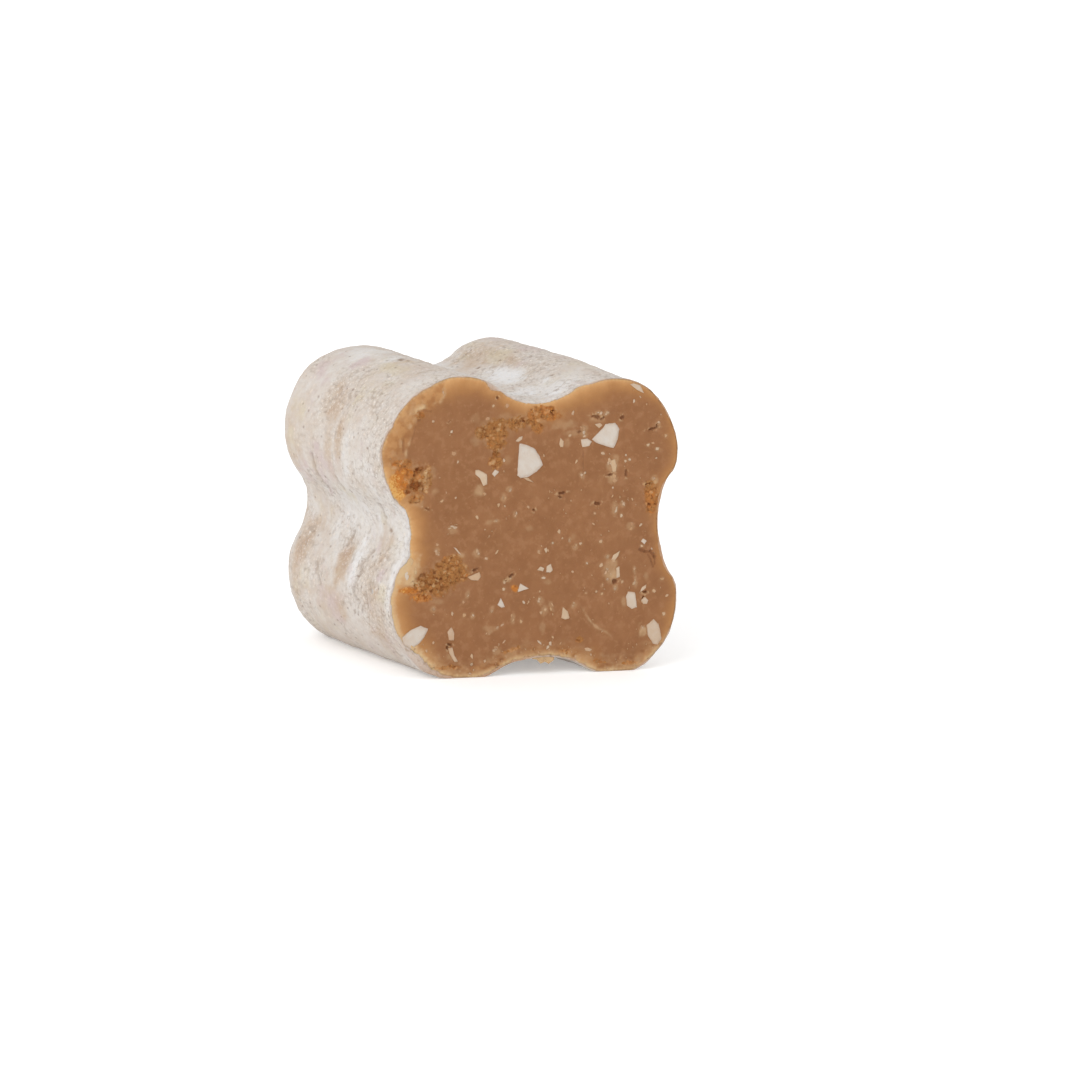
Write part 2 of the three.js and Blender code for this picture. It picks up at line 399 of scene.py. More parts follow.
def coat_look():
    """Icing sugar, thick and white in places and rubbed thin over the brown paste elsewhere."""
    look = Look("sugar_coat")
    flow, coarse = look.mark("flow", "Vector"), look.mark("coarse")
    drift = look.stretch(flow, (0.75, 0.75, 1.0))
    cloud = look.grain(drift, 1.1, 4.0, 0.6)
    tint = look.grain(drift, 1.0, 4.0, 0.6)
    fine = look.grain(drift, 0.26, 4.0, 0.7)
    speck = look.grain(flow, 0.12, 3.0, 0.6)
    crystal, pepper, painted_glints = look.dots(flow, 0.26), look.dots(flow, 0.85), look.dots(drift, 0.55)
    hue = look.varied("hue", tint, 1.1)
    uneven = look.maths("ADD", fine, look.maths("SUBTRACT", cloud, 0.5))
    body = look.colours(look.varied("bare", uneven, 0.5), (
        (0.0, 207, 203, 200), (0.25, 200, 194, 188), (0.5, 192, 181, 171),
        (0.75, 185, 168, 152), (1.0, 172, 148, 128),
    ))
    body = look.tints(body, (
        (hue, 0.55, 0.95, 0.75, 188, 171, 169),
        (hue, 0.45, 0.05, 0.5, 194, 183, 158),
    ))
    grains = look.tints(body, (
        (fine, 0.54, 0.7, 0.8, 215, 209, 203),
        (fine, 0.45, 0.3, 0.75, 161, 147, 135),
        (crystal, 0.34, 0.12, 0.5, 220, 213, 205),
        (crystal, 0.6, 0.82, 0.5, 154, 139, 126),
        (speck, 0.6, 0.72, 0.45, 217, 211, 205),
        (speck, 0.41, 0.3, 0.45, 152, 137, 125),
    ))
    body = look.mix(look.ramp(coarse, 0.0, 1.0, 0.25, 1.0), body, grains)
    body = look.tints(body, (
        (pepper, 0.16, 0.07, 0.55, 138, 122, 112),
        # Pale dots painted as glints of sugar crystals.
        (painted_glints, 0.2, 0.08, 0.4, 218, 203, 188),
    ))
    # The first colour is painted shade in slits, holes and crevices, and the dark of the flecks; white and
    # cream are the sugar's own.
    body = look.marked(body, hole=(136, 116, 100), white=(213, 211, 210), cream=(168, 124, 84))
    normal = look.bumps((
        (fine, 0.1, look.ramp(coarse, 0.0, 1.0, 0.25, 0.8)),
        (crystal, 0.05, look.ramp(coarse, 0.0, 1.0, 0.15, 0.6)),
        (speck, 0.05, 0.5),
    ))
    return look.finish(
        Base_Color=body, Roughness=look.ramp(cloud, 0.3, 0.7, 0.85, 0.98), Normal=normal,
        Specular_IOR_Level=0.2, Subsurface_Weight=0.1,
        Subsurface_Radius=(1.0, 0.8, 0.6), Subsurface_Scale=0.15 * MM,
    )


def face_look():
    """Nut praline paste, cut smooth: satin brown, with painted light making its rim paler and more orange.
    """
    look = Look("praline")
    spot = look.spot()
    soft = look.grain(spot, 2.0)
    veil = look.grain(look.spot((1.7, 1.0, 0.45)), 1.3)
    blotch = look.grain(spot, 0.55, 3.0, 0.5)
    mealy = look.grain(spot, 0.3, 2.0, 0.5)
    pepper = look.grain(spot, 0.12, 3.0, 0.6)
    sand = look.grain(spot, 0.16, 3.0, 0.7)
    base = look.tints(srgb(135, 89, 51), (
        (soft, 0.35, 0.65, 1.0, 141, 95, 58),
        (veil, 0.45, 0.7, 0.35, 147, 101, 63),
        (blotch, 0.52, 0.68, 0.45, 157, 111, 75),
        (blotch, 0.46, 0.34, 0.3, 129, 83, 46),
        (mealy, 0.58, 0.72, 0.4, 160, 115, 78),
        (pepper, 0.68, 0.78, 0.4, 172, 130, 94),
        # Painted shade of tiny pits too fine for the mesh.
        (pepper, 0.33, 0.25, 0.45, 112, 66, 32),
    ))
    # Painted light: the rim is paler and more orange where light would come through the paste.
    painted_glow = look.varied("painted_glow", soft, 0.25)
    lit = look.colours(painted_glow, (
        (0.0, 141, 93, 52), (0.35, 160, 111, 64), (0.6, 178, 129, 79),
        (0.85, 196, 149, 97), (1.0, 206, 165, 116),
    ))
    base = look.mix(look.ramp(painted_glow, 0.02, 0.4), base, lit)
    flake = look.tints(srgb(142, 90, 45), ((blotch, 0.4, 0.62, 1.0, 176, 130, 82),))
    base = look.mix(look.mark("flake"), base, flake)
    crumb = look.colours(look.varied("amber", sand, 0.6), (
        (0.0, 108, 54, 14), (0.25, 134, 76, 27), (0.5, 152, 104, 56),
        (0.7, 168, 107, 53), (0.85, 180, 107, 36), (1.0, 208, 160, 92),
    ))
    in_crumb = look.mark("crumb")
    # shade is painted shade in crevices, cracks, pores and troughs; pale is the paste's own paleness with
    # painted highlights at the rim edge, the broken ridge and the rolled lumps.
    base = look.marked(look.mix(in_crumb, base, crumb), pale=(196, 166, 126), shade=(102, 52, 14))
    normal = look.bumps((
        (blotch, 0.03, 0.4), (mealy, 0.03, 0.4), (pepper, 0.02, 0.4), (sand, 0.08, in_crumb),
    ))
    return look.finish(
        Base_Color=base, Normal=normal,
        Roughness=look.ramp(look.maths("ADD", soft, in_crumb), 0.3, 1.2, 0.5, 0.85),
        Specular_IOR_Level=0.3, Subsurface_Weight=0.2,
        Subsurface_Radius=(1.0, 0.6, 0.35), Subsurface_Scale=0.4 * MM,
    )


def nut_look():
    """Raw hazelnut: cream, a little translucent, with a faint grain."""
    look = Look("nut")
    spot = look.spot()
    soft = look.grain(spot, 0.5, 3.0, 0.6)
    fine = look.grain(spot, 0.12, 3.0, 0.6)
    base = look.colours(look.varied("tone", soft, 0.5), (
        (0.0, 160, 114, 78), (0.3, 180, 141, 108), (0.65, 188, 167, 146), (1.0, 198, 190, 181),
    ))
    base = look.marked(base, warm=(192, 158, 112))
    base = look.tints(base, ((fine, 0.6, 0.75, 0.3, 168, 146, 122),))
    base = look.marked(base, edge=(162, 122, 86))
    return look.finish(
        Base_Color=base, Roughness=look.ramp(soft, 0.3, 0.7, 0.45, 0.65),
        Normal=look.bumps(((fine, 0.02, 0.5),)),
        Specular_IOR_Level=0.3, Subsurface_Weight=0.3,
        Subsurface_Radius=(1.0, 0.85, 0.7), Subsurface_Scale=0.3 * MM,
    )


def biscuit_look():
    """Caramel biscuit crumb, from amber to dark brown grain by grain."""
    look = Look("biscuit")
    fine = look.grain(look.spot(), 0.09, 4.0, 0.65)
    base = look.colours(look.mark("tone"), (
        (0.0, 112, 60, 20), (0.25, 134, 84, 38), (0.5, 154, 106, 60),
        (0.7, 170, 110, 57), (0.85, 184, 114, 44), (1.0, 212, 164, 98),
    ))
    base = look.tints(base, (
        (fine, 0.5, 0.72, 0.35, 184, 140, 96),
        (fine, 0.45, 0.28, 0.3, 116, 66, 26),
    ))
    return look.finish(
        Base_Color=base, Roughness=look.ramp(fine, 0.3, 0.7, 0.7, 0.9),
        Normal=look.bumps(((fine, 0.04, 0.8),)),
        Specular_IOR_Level=0.25, Subsurface_Weight=0.25,
        Subsurface_Radius=(1.0, 0.5, 0.2), Subsurface_Scale=0.3 * MM,
    )


# ---------------------------------------------------------------- the sugar coat

AROUND = 560
SIDE_ROWS = 106
END_ROWS = 22
RECESS_DEPTH = 2.4
# Where the truffle rests, an inner layer lies this share of its inset above the ground.
REST_SLOPE = 0.25

# How far it is around the tube that the patterns of the coat are laid on.
FLOW_AROUND = 78.61
FLOW_RADIUS = FLOW_AROUND / (2 * math.pi)
LIP_BASE, LIP_LEAST = 0.04, 0.06

points_2d, normals_2d, shares, PERIMETER = section(AROUND)

# Where the sugar's edge is wide: share around, reach and width.
LIPS = (
    (0.968, 0.024, 0.19), (TOP, 0.03, 0.12), (BOTTOM, 0.05, 0.08), (0.1, 0.045, 0.14),
    (LOWER_RIGHT, 0.05, 0.05), (0.757, 0.006, 0.28), (0.88, 0.02, 0.06), (0.1, 0.016, 0.35),
    (0.05, 0.02, 0.05), (0.994, 0.009, 0.32),
)


def flow_place(around, run, shrink=1.0):
    """A place of the coat unrolled onto a tube, so that patterns follow the surface."""
    angle = 2 * math.pi * around
    radius = FLOW_RADIUS * shrink
    return np.stack([radius * np.cos(angle), radius * np.sin(angle), run + 0 * around], axis=1)


def lip_width(around):
    """How far the sugar's edge reaches over the cut face. It is most ragged at the bottom."""
    circle = flow_place(around, 3.0)
    width = np.full_like(around, LIP_BASE)
    for middle, reach, extra in LIPS:
        width += extra * near(around, middle, reach)
    width = width * (1 + 0.45 * fractal(circle, 1.1, 61, 4)) + 0.03 * noise(circle, 0.3, 67)
    width += near(around, 0.21, 0.1) * 0.13 * np.abs(fractal(circle, 0.6, 69, 3))
    return np.maximum(width, LIP_LEAST)


LIP = lip_width(shares)

# Where the soft truffle bulged at the cut: share around, reach and height.
CUT_SWELLS = (
    (0.518, 0.012, 0.2), (0.535, 0.018, 0.22), (0.7, 0.032, 0.24), (0.885, 0.022, 0.22),
    (0.99, 0.028, 0.36), (0.042, 0.026, 0.24), (0.407, 0.012, 0.16), (0.671, 0.009, 0.16),
)


def cut_swell(around, behind):
    """How far the coat bulges, which fades with the distance behind the cut."""
    bulge = sum(extra * near(around, middle, reach) for middle, reach, extra in CUT_SWELLS)
    return bulge * step(4.0, 0.4, behind)


# Patches of the coat: share around, y, reach around, reach along, bareness (negative is whiter). Some
# darker patches are painted shade rather than bare sugar.
PATCHES = (
    (0.864, 9.9, 1.4, 1.3, 0.32), (0.877, 9.4, 1.0, 0.7, 0.2), (0.894, 8.2, 1.8, 0.45, 0.4),
    (0.909, 9.4, 1.8, 0.5, 0.3), (0.899, 7.2, 1.7, 0.45, -0.3), (0.912, 13.8, 2.0, 1.0, 0.25),
    (0.9, 4.8, 2.0, 1.2, -0.15), (0.807, 12.0, 2.0, 1.4, -0.35), (0.799, 8.8, 1.0, 0.9, -0.3),
    (0.804, 5.4, 1.2, 1.6, 0.15), (0.808, 7.8, 1.0, 0.5, 0.3), (0.963, 7.9, 2.2, 4.5, -0.24),
    (0.96, 2.8, 2.0, 0.9, -0.14), (0.984, 2.4, 1.6, 0.8, -0.14), (0.003, 12.5, 1.6, 1.6, 0.1),
    (0.016, 8.4, 1.5, 0.85, 0.6), (0.013, 6.9, 1.8, 0.5, -0.42), (0.021, 13.7, 3.0, 0.8, 0.3),
    (0.053, 9.6, 1.4, 1.5, 0.3), (0.053, 8.3, 1.0, 0.7, 0.2), (0.023, 4.7, 1.6, 1.0, 0.25),
    (0.041, 3.7, 1.4, 1.0, 0.25), (0.088, 10.7, 2.0, 3.0, 0.02), (0.078, 3.5, 1.5, 1.1, 0.26),
    (0.016, 2.1, 2.2, 0.4, -0.35), (0.665, 12.1, 1.2, 1.6, 0.34), (0.682, 12.8, 1.0, 1.2, 0.25),
    (0.66, 9.8, 1.2, 1.5, 0.2), (0.685, 7.2, 0.9, 1.8, -0.75), (0.711, 3.3, 2.2, 0.7, -0.45),
    (0.664, 8.0, 0.6, 1.0, 0.35), (0.641, 2.7, 1.0, 1.5, -0.1), (0.697, 11.1, 1.0, 1.2, 0.15),
    (0.779, 6.0, 1.2, 2.0, 0.1), (0.968, 12.0, 2.2, 1.6, 0.14), (0.984, 3.9, 1.4, 1.1, 0.28),
    (0.68, 1.6, 1.5, 1.2, -0.3),
)
# Where the coat is coarse (above 0) or smooth (below 0): share around, y, reaches, amount.
COARSE = (
    (0.87, 4.5, 3.0, 2.4, 0.35), (0.872, 13.5, 3.5, 3.0, -0.55), (0.806, 12.3, 2.5, 2.3, -0.5),
    (0.833, 6.9, 1.6, 1.3, -0.35), (0.03, 4.4, 2.6, 2.6, 0.5), (0.095, 8.5, 3.2, 5.0, -0.45),
    (0.65, 9.5, 2.6, 3.2, 0.45), (0.711, 3.0, 2.6, 1.2, 0.15), (0.97, 8.5, 2.2, 2.6, -0.05),
    (0.02, 11.5, 2.0, 2.0, -0.2), (0.053, 9.6, 1.6, 1.6, -0.3),
)
# Pinkish (above 0) and olive (below 0) patches: share around, y, reaches, amount.
HUES = (
    (0.813, 7.8, 0.6, 0.8, -0.6), (0.811, 7.6, 0.9, 2.4, -0.5), (0.818, 10.6, 0.9, 0.5, 0.9),
    (0.84, 12.5, 2.2, 1.6, 0.45), (0.872, 13.4, 1.5, 1.0, -0.35), (0.912, 13.8, 1.2, 0.8, -0.6),
    (0.925, 10.4, 1.8, 1.6, 0.6), (0.938, 13.2, 1.4, 1.2, 0.4), (0.053, 9.6, 1.7, 1.7, 0.5),
    (0.028, 3.4, 0.8, 0.9, -0.5), (0.016, 3.4, 0.6, 0.6, 0.8), (0.078, 3.5, 1.5, 1.2, 0.45),
    (0.659, 10.4, 1.0, 1.2, -0.7), (0.637, 9.3, 1.0, 1.4, 0.6), (0.628, 3.0, 1.4, 1.8, -0.35),
    (0.864, 7.5, 1.7, 0.45, -0.8), (0.687, 13.0, 1.2, 1.0, -0.5), (0.962, 4.7, 1.0, 0.5, -0.4),
    (0.963, 7.9, 1.2, 0.5, -0.4), (0.045, 13.0, 2.0, 1.2, -0.4),
)
# Crevices of the coat, dug in and given painted shade, as runs of share around and y.
CREVICES = (
    ((0.996, 5.5), (0.006, 5.9), (0.013, 6.2), (0.017, 5.8), (0.023, 6.1), (0.032, 6.4), (0.04, 6.4),
     (0.044, 5.9)),
    ((0.023, 11.5), (0.033, 11.0), (0.041, 10.7)), ((0.917, 11.6), (0.937, 11.5), (0.953, 11.2)),
    ((0.986, 8.7), (0.998, 8.9)), ((0.949, 4.7), (0.962, 4.5)), ((0.93, 9.1), (0.944, 8.6)),
    ((0.036, 5.0), (0.047, 4.7)), ((0.024, 4.6), (0.031, 4.3)), ((0.64, 7.2), (0.652, 7.6)),
)
# Dark flecks and holes of the coat: share around, y, radius.
FLECKS_IN_COAT = (
    (0.795, 8.2, 0.3), (0.793, 7.6, 0.16), (0.973, 3.9, 0.2), (0.976, 3.5, 0.12), (0.779, 12.6, 0.2),
    (0.667, 3.3, 0.13), (0.668, 9.6, 0.16), (0.652, 9.2, 0.14), (0.701, 2.9, 0.13), (0.683, 10.8, 0.16),
)


def along_line(x, z, ax, az, bx, bz):
    """Distance to the straight piece from a to b."""
    dx, dz = bx - ax, bz - az
    share = np.clip(((x - ax) * dx + (z - az) * dz) / (dx * dx + dz * dz), 0, 1)
    return np.hypot(x - ax - share * dx, z - az - share * dz)


def moved_out(flat, normals, size, out):
    """x and z of section points, scaled about the axis and moved along their normals."""
    x = AXIS_X + (flat[:, 0] - AXIS_X) * size + normals[:, 0] * out
    z = AXIS_Z + (flat[:, 1] - AXIS_Z) * size + normals[:, 1] * out
    return x, z


# Towards the middle of the far end the rings get coarser: size of ring, points left out.
CAP_HALVINGS = ((0.62, 2), (0.36, 4), (0.18, 8))
CAP_STEP, CAP_STEP_INNER, CAP_END = 0.0165, 0.03, 0.06


def coat_rings():
    """Rings of the coat from the floor of the recess behind the cut face to the far end."""
    rings = []
    front = cut_y(*points_2d.T)

    def ring(y, inset, run, shrink=1.0, every=1, plane=False):
        flat, normals, around = points_2d[::every], normals_2d[::every], shares[::every]
        behind = 0 * around if plane else y - front[::every]
        y, inset, run = (np.broadcast_to(v, (AROUND,))[::every] for v in (y, inset, run))
        size = shrink * (1 + GROWTH * y / LENGTH)
        out = shrink * (lump(around, y) + cut_swell(around, behind) - inset)
        x, z = moved_out(flat, normals, size, out)
        if plane:
            y = y + cut_y(x, z) - cut_y(*flat.T)
        flow = flow_place(around, run, shrink)
        rings.append((np.stack([x, y, z], axis=1), flow, around, REST_SLOPE * inset))

    ring(front + RECESS_DEPTH, LIP + 0.15, front - 2.6, every=2, plane=True)
    ring(front + RECESS_DEPTH, LIP + 0.13, front - 2.4, plane=True)
    proud = 0.005 + 0.13 * LIP
    ring(front + 0.12, LIP + 0.1, front - LIP - 0.4, plane=True)
    ring(front + 0.03, LIP + 0.05, front - LIP - 0.3, plane=True)
    ring(front - 0.3 * proud, LIP, front - LIP - 0.25, plane=True)
    for share, rise in ((0.7, 1.0), (0.4, 0.9), (0.15, 0.3)):
        ring(front - rise * proud, share * LIP, front - share * LIP - 0.15, plane=True)
    ring(front + 0.05, 0.0, front, plane=True)
    shoulder = LENGTH - END_ROUND
    start = front + 0.18
    for k in range(SIDE_ROWS + 1):
        y = start + (shoulder - start) * k / SIDE_ROWS
        ring(y, 0.0, y)
    for k in range(1, END_ROWS + 1):
        angle = k / END_ROWS * math.pi / 2
        run = shoulder + END_ROUND * angle
        ring(shoulder + END_ROUND * math.sin(angle), END_ROUND * (1 - math.cos(angle)), run)
    run = shoulder + END_ROUND * math.pi / 2
    shrink, every = 1.0, 1
    while shrink > CAP_END:
        shrink -= CAP_STEP if every < 8 else CAP_STEP_INNER
        if any(shrink < small and every < coarse for small, coarse in CAP_HALVINGS):
            every *= 2
        ring(LENGTH + END_DOME * (1 - shrink**2), END_ROUND, run, shrink, every)
    return rings


def coat_mesh():
    """Points, flow, shares around, least heights, what takes relief, and triangles."""
    rings = coat_rings()
    points, flow = (np.vstack([one[i] for one in rings]) for i in (0, 1))
    around, lowest = (np.concatenate([one[i] for one in rings] + [[0.0, 0.0]]) for i in (2, 3))
    ends = np.cumsum([len(one[0]) for one in rings])
    numbers = np.split(np.arange(ends[-1]), ends[:-1])
    faces = [bridge(numbers[1], numbers[0])[:, ::-1]]
    faces += [bridge(outer, inner) for outer, inner in zip(numbers[1:-1], numbers[2:])]
    # The recess floor and the middle of the far end close the body.
    for ring, turn in ((numbers[0], -1), (numbers[-1], 1)):
        faces.append(fan(ring, len(points))[:, ::turn])
        points = np.vstack([points, points[ring].mean(axis=0)])
        flow = np.vstack([flow, flow[ring].mean(axis=0)])
    soft = np.ones(len(points))
    soft[: ends[2]] = soft[-2] = 0.0
    return points, flow, around, lowest, soft, np.vstack(faces)


def add_patches(total, table, reach, full, around, run, warp):
    """Adds a table of patches, each of them full up to one distance and gone at another."""
    for share, y, reach_around, reach_along, amount in table:
        across = apart(around, share) * PERIMETER / reach_around
        total += amount * step(reach, full, np.hypot(across, (run - y) / reach_along) * warp)


def coat_flaws(around, run, grit):
    """How much of a dark fleck or of a crevice is at each point of the coat."""
    fleck, crevice = np.zeros(len(run)), np.zeros(len(run))
    for share, y, radius in FLECKS_IN_COAT:
        away = np.hypot(apart(around, share) * PERIMETER, run - y)
        fleck = np.maximum(fleck, step(radius * 1.3, radius * 0.4, away + 0.08 * grit))
    for line in CREVICES:
        for (a, ya), (b, yb) in zip(line, line[1:]):
            # Shares are measured from the line's start, the short way around.
            here, there = (((share - a + 0.5) % 1.0 - 0.5) * PERIMETER for share in (around, b))
            gap = along_line(here, run, 0.0, ya, there, yb)
            crevice = np.maximum(crevice, step(0.2, 0.05, gap + 0.1 * grit))
    return fleck, crevice


def make_coat():
    points, flow, around, lowest, soft, faces = coat_mesh()
    run = flow[:, 2]
    wide = flow * (0.8, 0.8, 1.0)
    grit = fractal(flow, 0.5, 5, 3)
    furrow = fractal(flow * (0.5, 0.5, 1.0), 0.5, 9, 3)
    slit_away, slit_value = cells(flow * (0.42, 0.42, 1.0), 0.55, 11)
    hole_away, hole_value = cells(wide, 0.48, 13)
    slit = step(0.26, 0.08, slit_away + 0.06 * grit) * (slit_value > 0.7)
    hole = step(0.34, 0.1, hole_away + 0.08 * grit) * (hole_value > 0.66)
    fleck, crevice = coat_flaws(around, run, grit)
    # Sugar lies thick in the hollows and is rubbed off the lobes.
    hollows = sum(near(around, middle, 0.05) for middle in (LEFT, TOP, RIGHT, BOTTOM))
    bare = 0.46 - 0.1 * hollows + 0.13 * fractal(flow * (0.7, 0.7, 1.0), 3.0, 21, 3)
    bare += (0.05 + 0.1 * np.clip(hollows, 0, 1)) * furrow + 0.06 * grit
    coarse = 0.5 + 0.7 * fractal(wide, 2.4, 27, 3)
    hue = 0.3 * fractal(wide, 2.0, 29, 3)
    warp = 1 + 0.4 * fractal(flow, 0.9, 23, 4)
    for total, table, reach, full in (
        (bare, PATCHES, 1.55, 0.3), (coarse, COARSE, 1.4, 0.4), (hue, HUES, 1.4, 0.4),
    ):
        add_patches(total, table, reach, full, around, run, warp)
    coarse = np.clip(coarse, 0, 1)
    height = 0.045 * fractal(flow, 1.7, 3, 3) - 0.05 * (bare - 0.45)
    height += (0.4 + 0.8 * coarse) * (0.014 * furrow + 0.026 * grit)
    height -= (0.2 + 0.9 * coarse) * (0.07 * slit + 0.06 * hole) + 0.05 * fleck + 0.12 * crevice
    points = points + normals_of(points, faces) * (height * soft)[:, None]
    points[:, 2] = np.maximum(points[:, 2], lowest)

    # Past the rim the paste shines through, except where the sugar is thick.
    behind = run - cut_y(points[:, 0], points[:, 2])
    bare -= (0.12 + 0.15 * near(around, LEFT, 0.04)) * step(0.25, -0.15, behind)
    thick = near(around, LEFT, 0.035) + 0.7 * near(around, TOP, 0.04)
    thick += 0.6 * near(around, 0.07, 0.05)
    past_rim = 0.45 * near(around, 0.52, 0.11, 4)
    past_rim += 0.75 * near(around, 0.14, 0.05)
    # Painted shade in the slits, holes and crevices, and the dark of the flecks.
    dark = (0.1 + 0.5 * coarse) * (0.6 * slit + 0.75 * hole) + 0.8 * fleck + 0.35 * crevice
    marks = {
        "flow": flow,
        "bare": np.clip(bare, 0, 1),
        "coarse": coarse,
        "hue": np.clip(0.5 + 0.5 * hue, 0, 1),
        "hole": np.clip(dark, 0, 1) * soft,
        "white": 0.8 * step(0.1, -0.35, bare + 0.15 * grit) * soft,
        "cream": np.clip(0.8 - thick, 0, 1) * step(0.1, -0.5, behind - past_rim + 0.12 * grit) * soft,
    }
    add_piece("sugar_coat", points, faces, marks, coat_look())


make_coat()

# ---------------------------------------------------------------- the cut face

FACE_STEP = 0.098
CRUMB_STEP = 0.06
# The finer grid reaches so far around crumb, in its own sizes, and beside cuts.
FINE_REACH, FINE_GAP = 1.35, 0.25
EDGE_GAP = 0.07
# How far the paste reaches under the sugar's lip.
FACE_OVERLAP = 0.012
# The wall and the back of the face, hidden in the recess: inset and distance behind the cut.
HIDDEN_LAYERS = ((0.07, 0.1), (0.12, RECESS_DEPTH - 0.15))
# Crumb more amber than this is smooth, with few grains. Chips larger than this lie in pieces.
GOLDEN = 0.76
BIG_CHIP = 0.32

# Biscuit crumb: x, z, width, height, turn in degrees, amber (0 dark, 1 golden), depth.
POCKETS = (
    (-9.55, 13.95, 1.5, 2.0, 0, 0.8, 0.08), (-10.25, 13.6, 0.7, 1.5, 0, 0.97, 0.04),
    (-9.8, 12.9, 1.0, 0.6, 10, 0.96, 0.05), (-9.6, 15.05, 1.4, 0.6, 0, 0.66, 0.05),
    (-8.7, 14.0, 1.4, 1.7, 0, 0.66, 0.08), (-8.35, 14.65, 0.6, 0.4, 20, 0.14, 0.14),
    (-8.55, 13.5, 0.85, 0.5, 20, 0.16, 0.15), (-8.9, 13.75, 0.3, 0.4, 0, 0.25, 0.12),
    (-9.2, 13.08, 0.4, 0.24, 0, 0.15, 0.12), (-7.9, 13.9, 0.8, 1.8, 0, 0.53, 0.05),
    (-8.6, 12.6, 1.2, 0.6, 20, 0.58, 0.04), (-2.95, 17.15, 1.9, 1.6, 10, 0.5, 0.09),
    (-3.95, 17.0, 0.8, 0.9, 0, 0.42, 0.08), (-2.85, 16.3, 1.4, 1.0, 0, 0.6, 0.09),
    (-2.84, 15.6, 0.6, 0.5, 0, 0.36, 0.12), (-2.82, 14.95, 1.0, 0.8, 0, 0.56, 0.05),
    (-1.4, 17.65, 1.4, 0.9, 10, 0.5, 0.08), (0.8, 18.32, 1.9, 0.95, -8, 0.68, 0.1),
    (-0.05, 18.0, 1.1, 1.2, 0, 0.6, 0.1), (0.2, 17.35, 0.8, 0.8, 0, 0.62, 0.09),
    (-6.9, 6.8, 2.3, 1.8, 20, 0.46, 0.13), (-5.6, 7.4, 1.7, 1.4, 20, 0.52, 0.09),
    (-6.2, 8.1, 2.0, 0.8, 20, 0.56, 0.05), (-8.0, 6.7, 1.4, 1.3, 20, 0.43, 0.13),
    (-8.9, 6.25, 1.4, 0.5, 0, 0.86, 0.08), (-8.05, 5.75, 1.4, 0.6, 0, 0.74, 0.08),
    (8.8, 12.2, 0.95, 2.2, 4, 0.64, 0.06), (8.7, 13.15, 1.0, 0.5, 0, 0.52, 0.07),
    (3.65, 2.33, 0.5, 0.42, 0, 0.6, 0.04), (-1.2, 6.14, 0.5, 0.45, 0, 0.82, 0.02),
    (-8.4, 18.35, 0.6, 0.45, 0, 0.62, 0.03), (2.64, 1.5, 0.8, 0.35, -10, 0.6, 0.04),
    (5.2, 0.72, 0.9, 0.28, -12, 0.62, 0.04), (7.5, 0.52, 1.1, 0.26, 0, 0.64, 0.04),
    (-7.6, 0.95, 1.2, 0.4, -25, 0.6, 0.04), (-1.3, 1.8, 1.4, 0.25, 14, 0.58, 0.04),
    (-6.1, 0.75, 1.6, 0.3, 0, 0.62, 0.03),
)
CRUMB_SIZE = 0.28
PORE_SPACING = 0.36
# Crevices of the paste, dug in and given painted shade: x, z, width, height, turn in degrees, depth.
PITS = (
    (2.1, 12.68, 0.55, 0.17, 10, 0.2), (2.02, 12.42, 0.42, 0.13, -15, 0.15),
    (4.74, 11.88, 0.5, 0.22, 0, 0.18), (4.55, 18.0, 0.6, 0.24, -10, 0.16),
    (5.05, 17.86, 0.3, 0.16, 20, 0.14), (6.5, 17.9, 0.4, 0.2, 40, 0.14),
    (8.77, 17.03, 0.65, 0.18, 12, 0.18), (9.15, 17.25, 0.16, 0.28, 0, 0.14),
    (8.55, 13.14, 0.5, 0.14, 0, 0.12), (5.7, 13.88, 0.5, 0.16, 10, 0.16), (6.9, 13.95, 0.16, 0.5, 0, 0.12),
    (0.08, 11.58, 0.2, 0.2, 0, 0.14), (6.25, 6.38, 0.44, 0.3, 10, 0.22), (-4.2, 7.52, 0.4, 0.2, 20, 0.16),
    (-1.53, 6.98, 0.42, 0.18, 40, 0.18), (-1.9, 6.72, 0.22, 0.14, 20, 0.12),
    (-5.95, 2.34, 0.36, 0.16, -10, 0.2), (-6.08, 2.15, 0.15, 0.3, 0, 0.16), (8.55, 5.5, 0.32, 0.2, 0, 0.2),
    (8.42, 5.1, 0.18, 0.22, 0, 0.14), (-2.79, 19.44, 0.18, 0.22, 0, 0.14),
    (-6.3, 17.9, 0.3, 0.1, 30, 0.06), (-7.8, 11.9, 0.4, 0.14, -20, 0.1), (3.3, 16.95, 0.3, 0.14, 0, 0.12),
)
# Marks of the blade and cracks: from x, z to x, z, width, depth and darkness, which is painted shade in the
# groove.
CUTS = (
    (3.64, 15.66, 3.68, 14.06, 0.05, 0.04, 0.3), (-8.95, 12.2, -8.8, 9.4, 0.25, 0.02, 0.0),
    (8.05, 8.56, 8.5, 8.38, 0.15, 0.06, 0.9), (8.5, 8.38, 8.86, 8.4, 0.13, 0.05, 0.6),
    (8.86, 8.4, 9.19, 8.0, 0.15, 0.06, 0.9), (9.19, 8.0, 9.22, 7.5, 0.13, 0.05, 0.7),
    (8.7, 8.15, 8.95, 7.75, 0.11, 0.04, 0.6), (8.95, 7.75, 9.11, 7.3, 0.12, 0.05, 0.7),
    (-9.57, 16.75, -9.57, 15.9, 0.12, 0.05, 0.3), (-8.7, 17.6, -8.95, 16.6, 0.1, 0.04, 0.2),
    (-8.52, 18.55, -8.45, 18.05, 0.2, 0.05, 0.35), (-8.1, 18.72, -7.6, 18.62, 0.14, 0.04, 0.3),
)
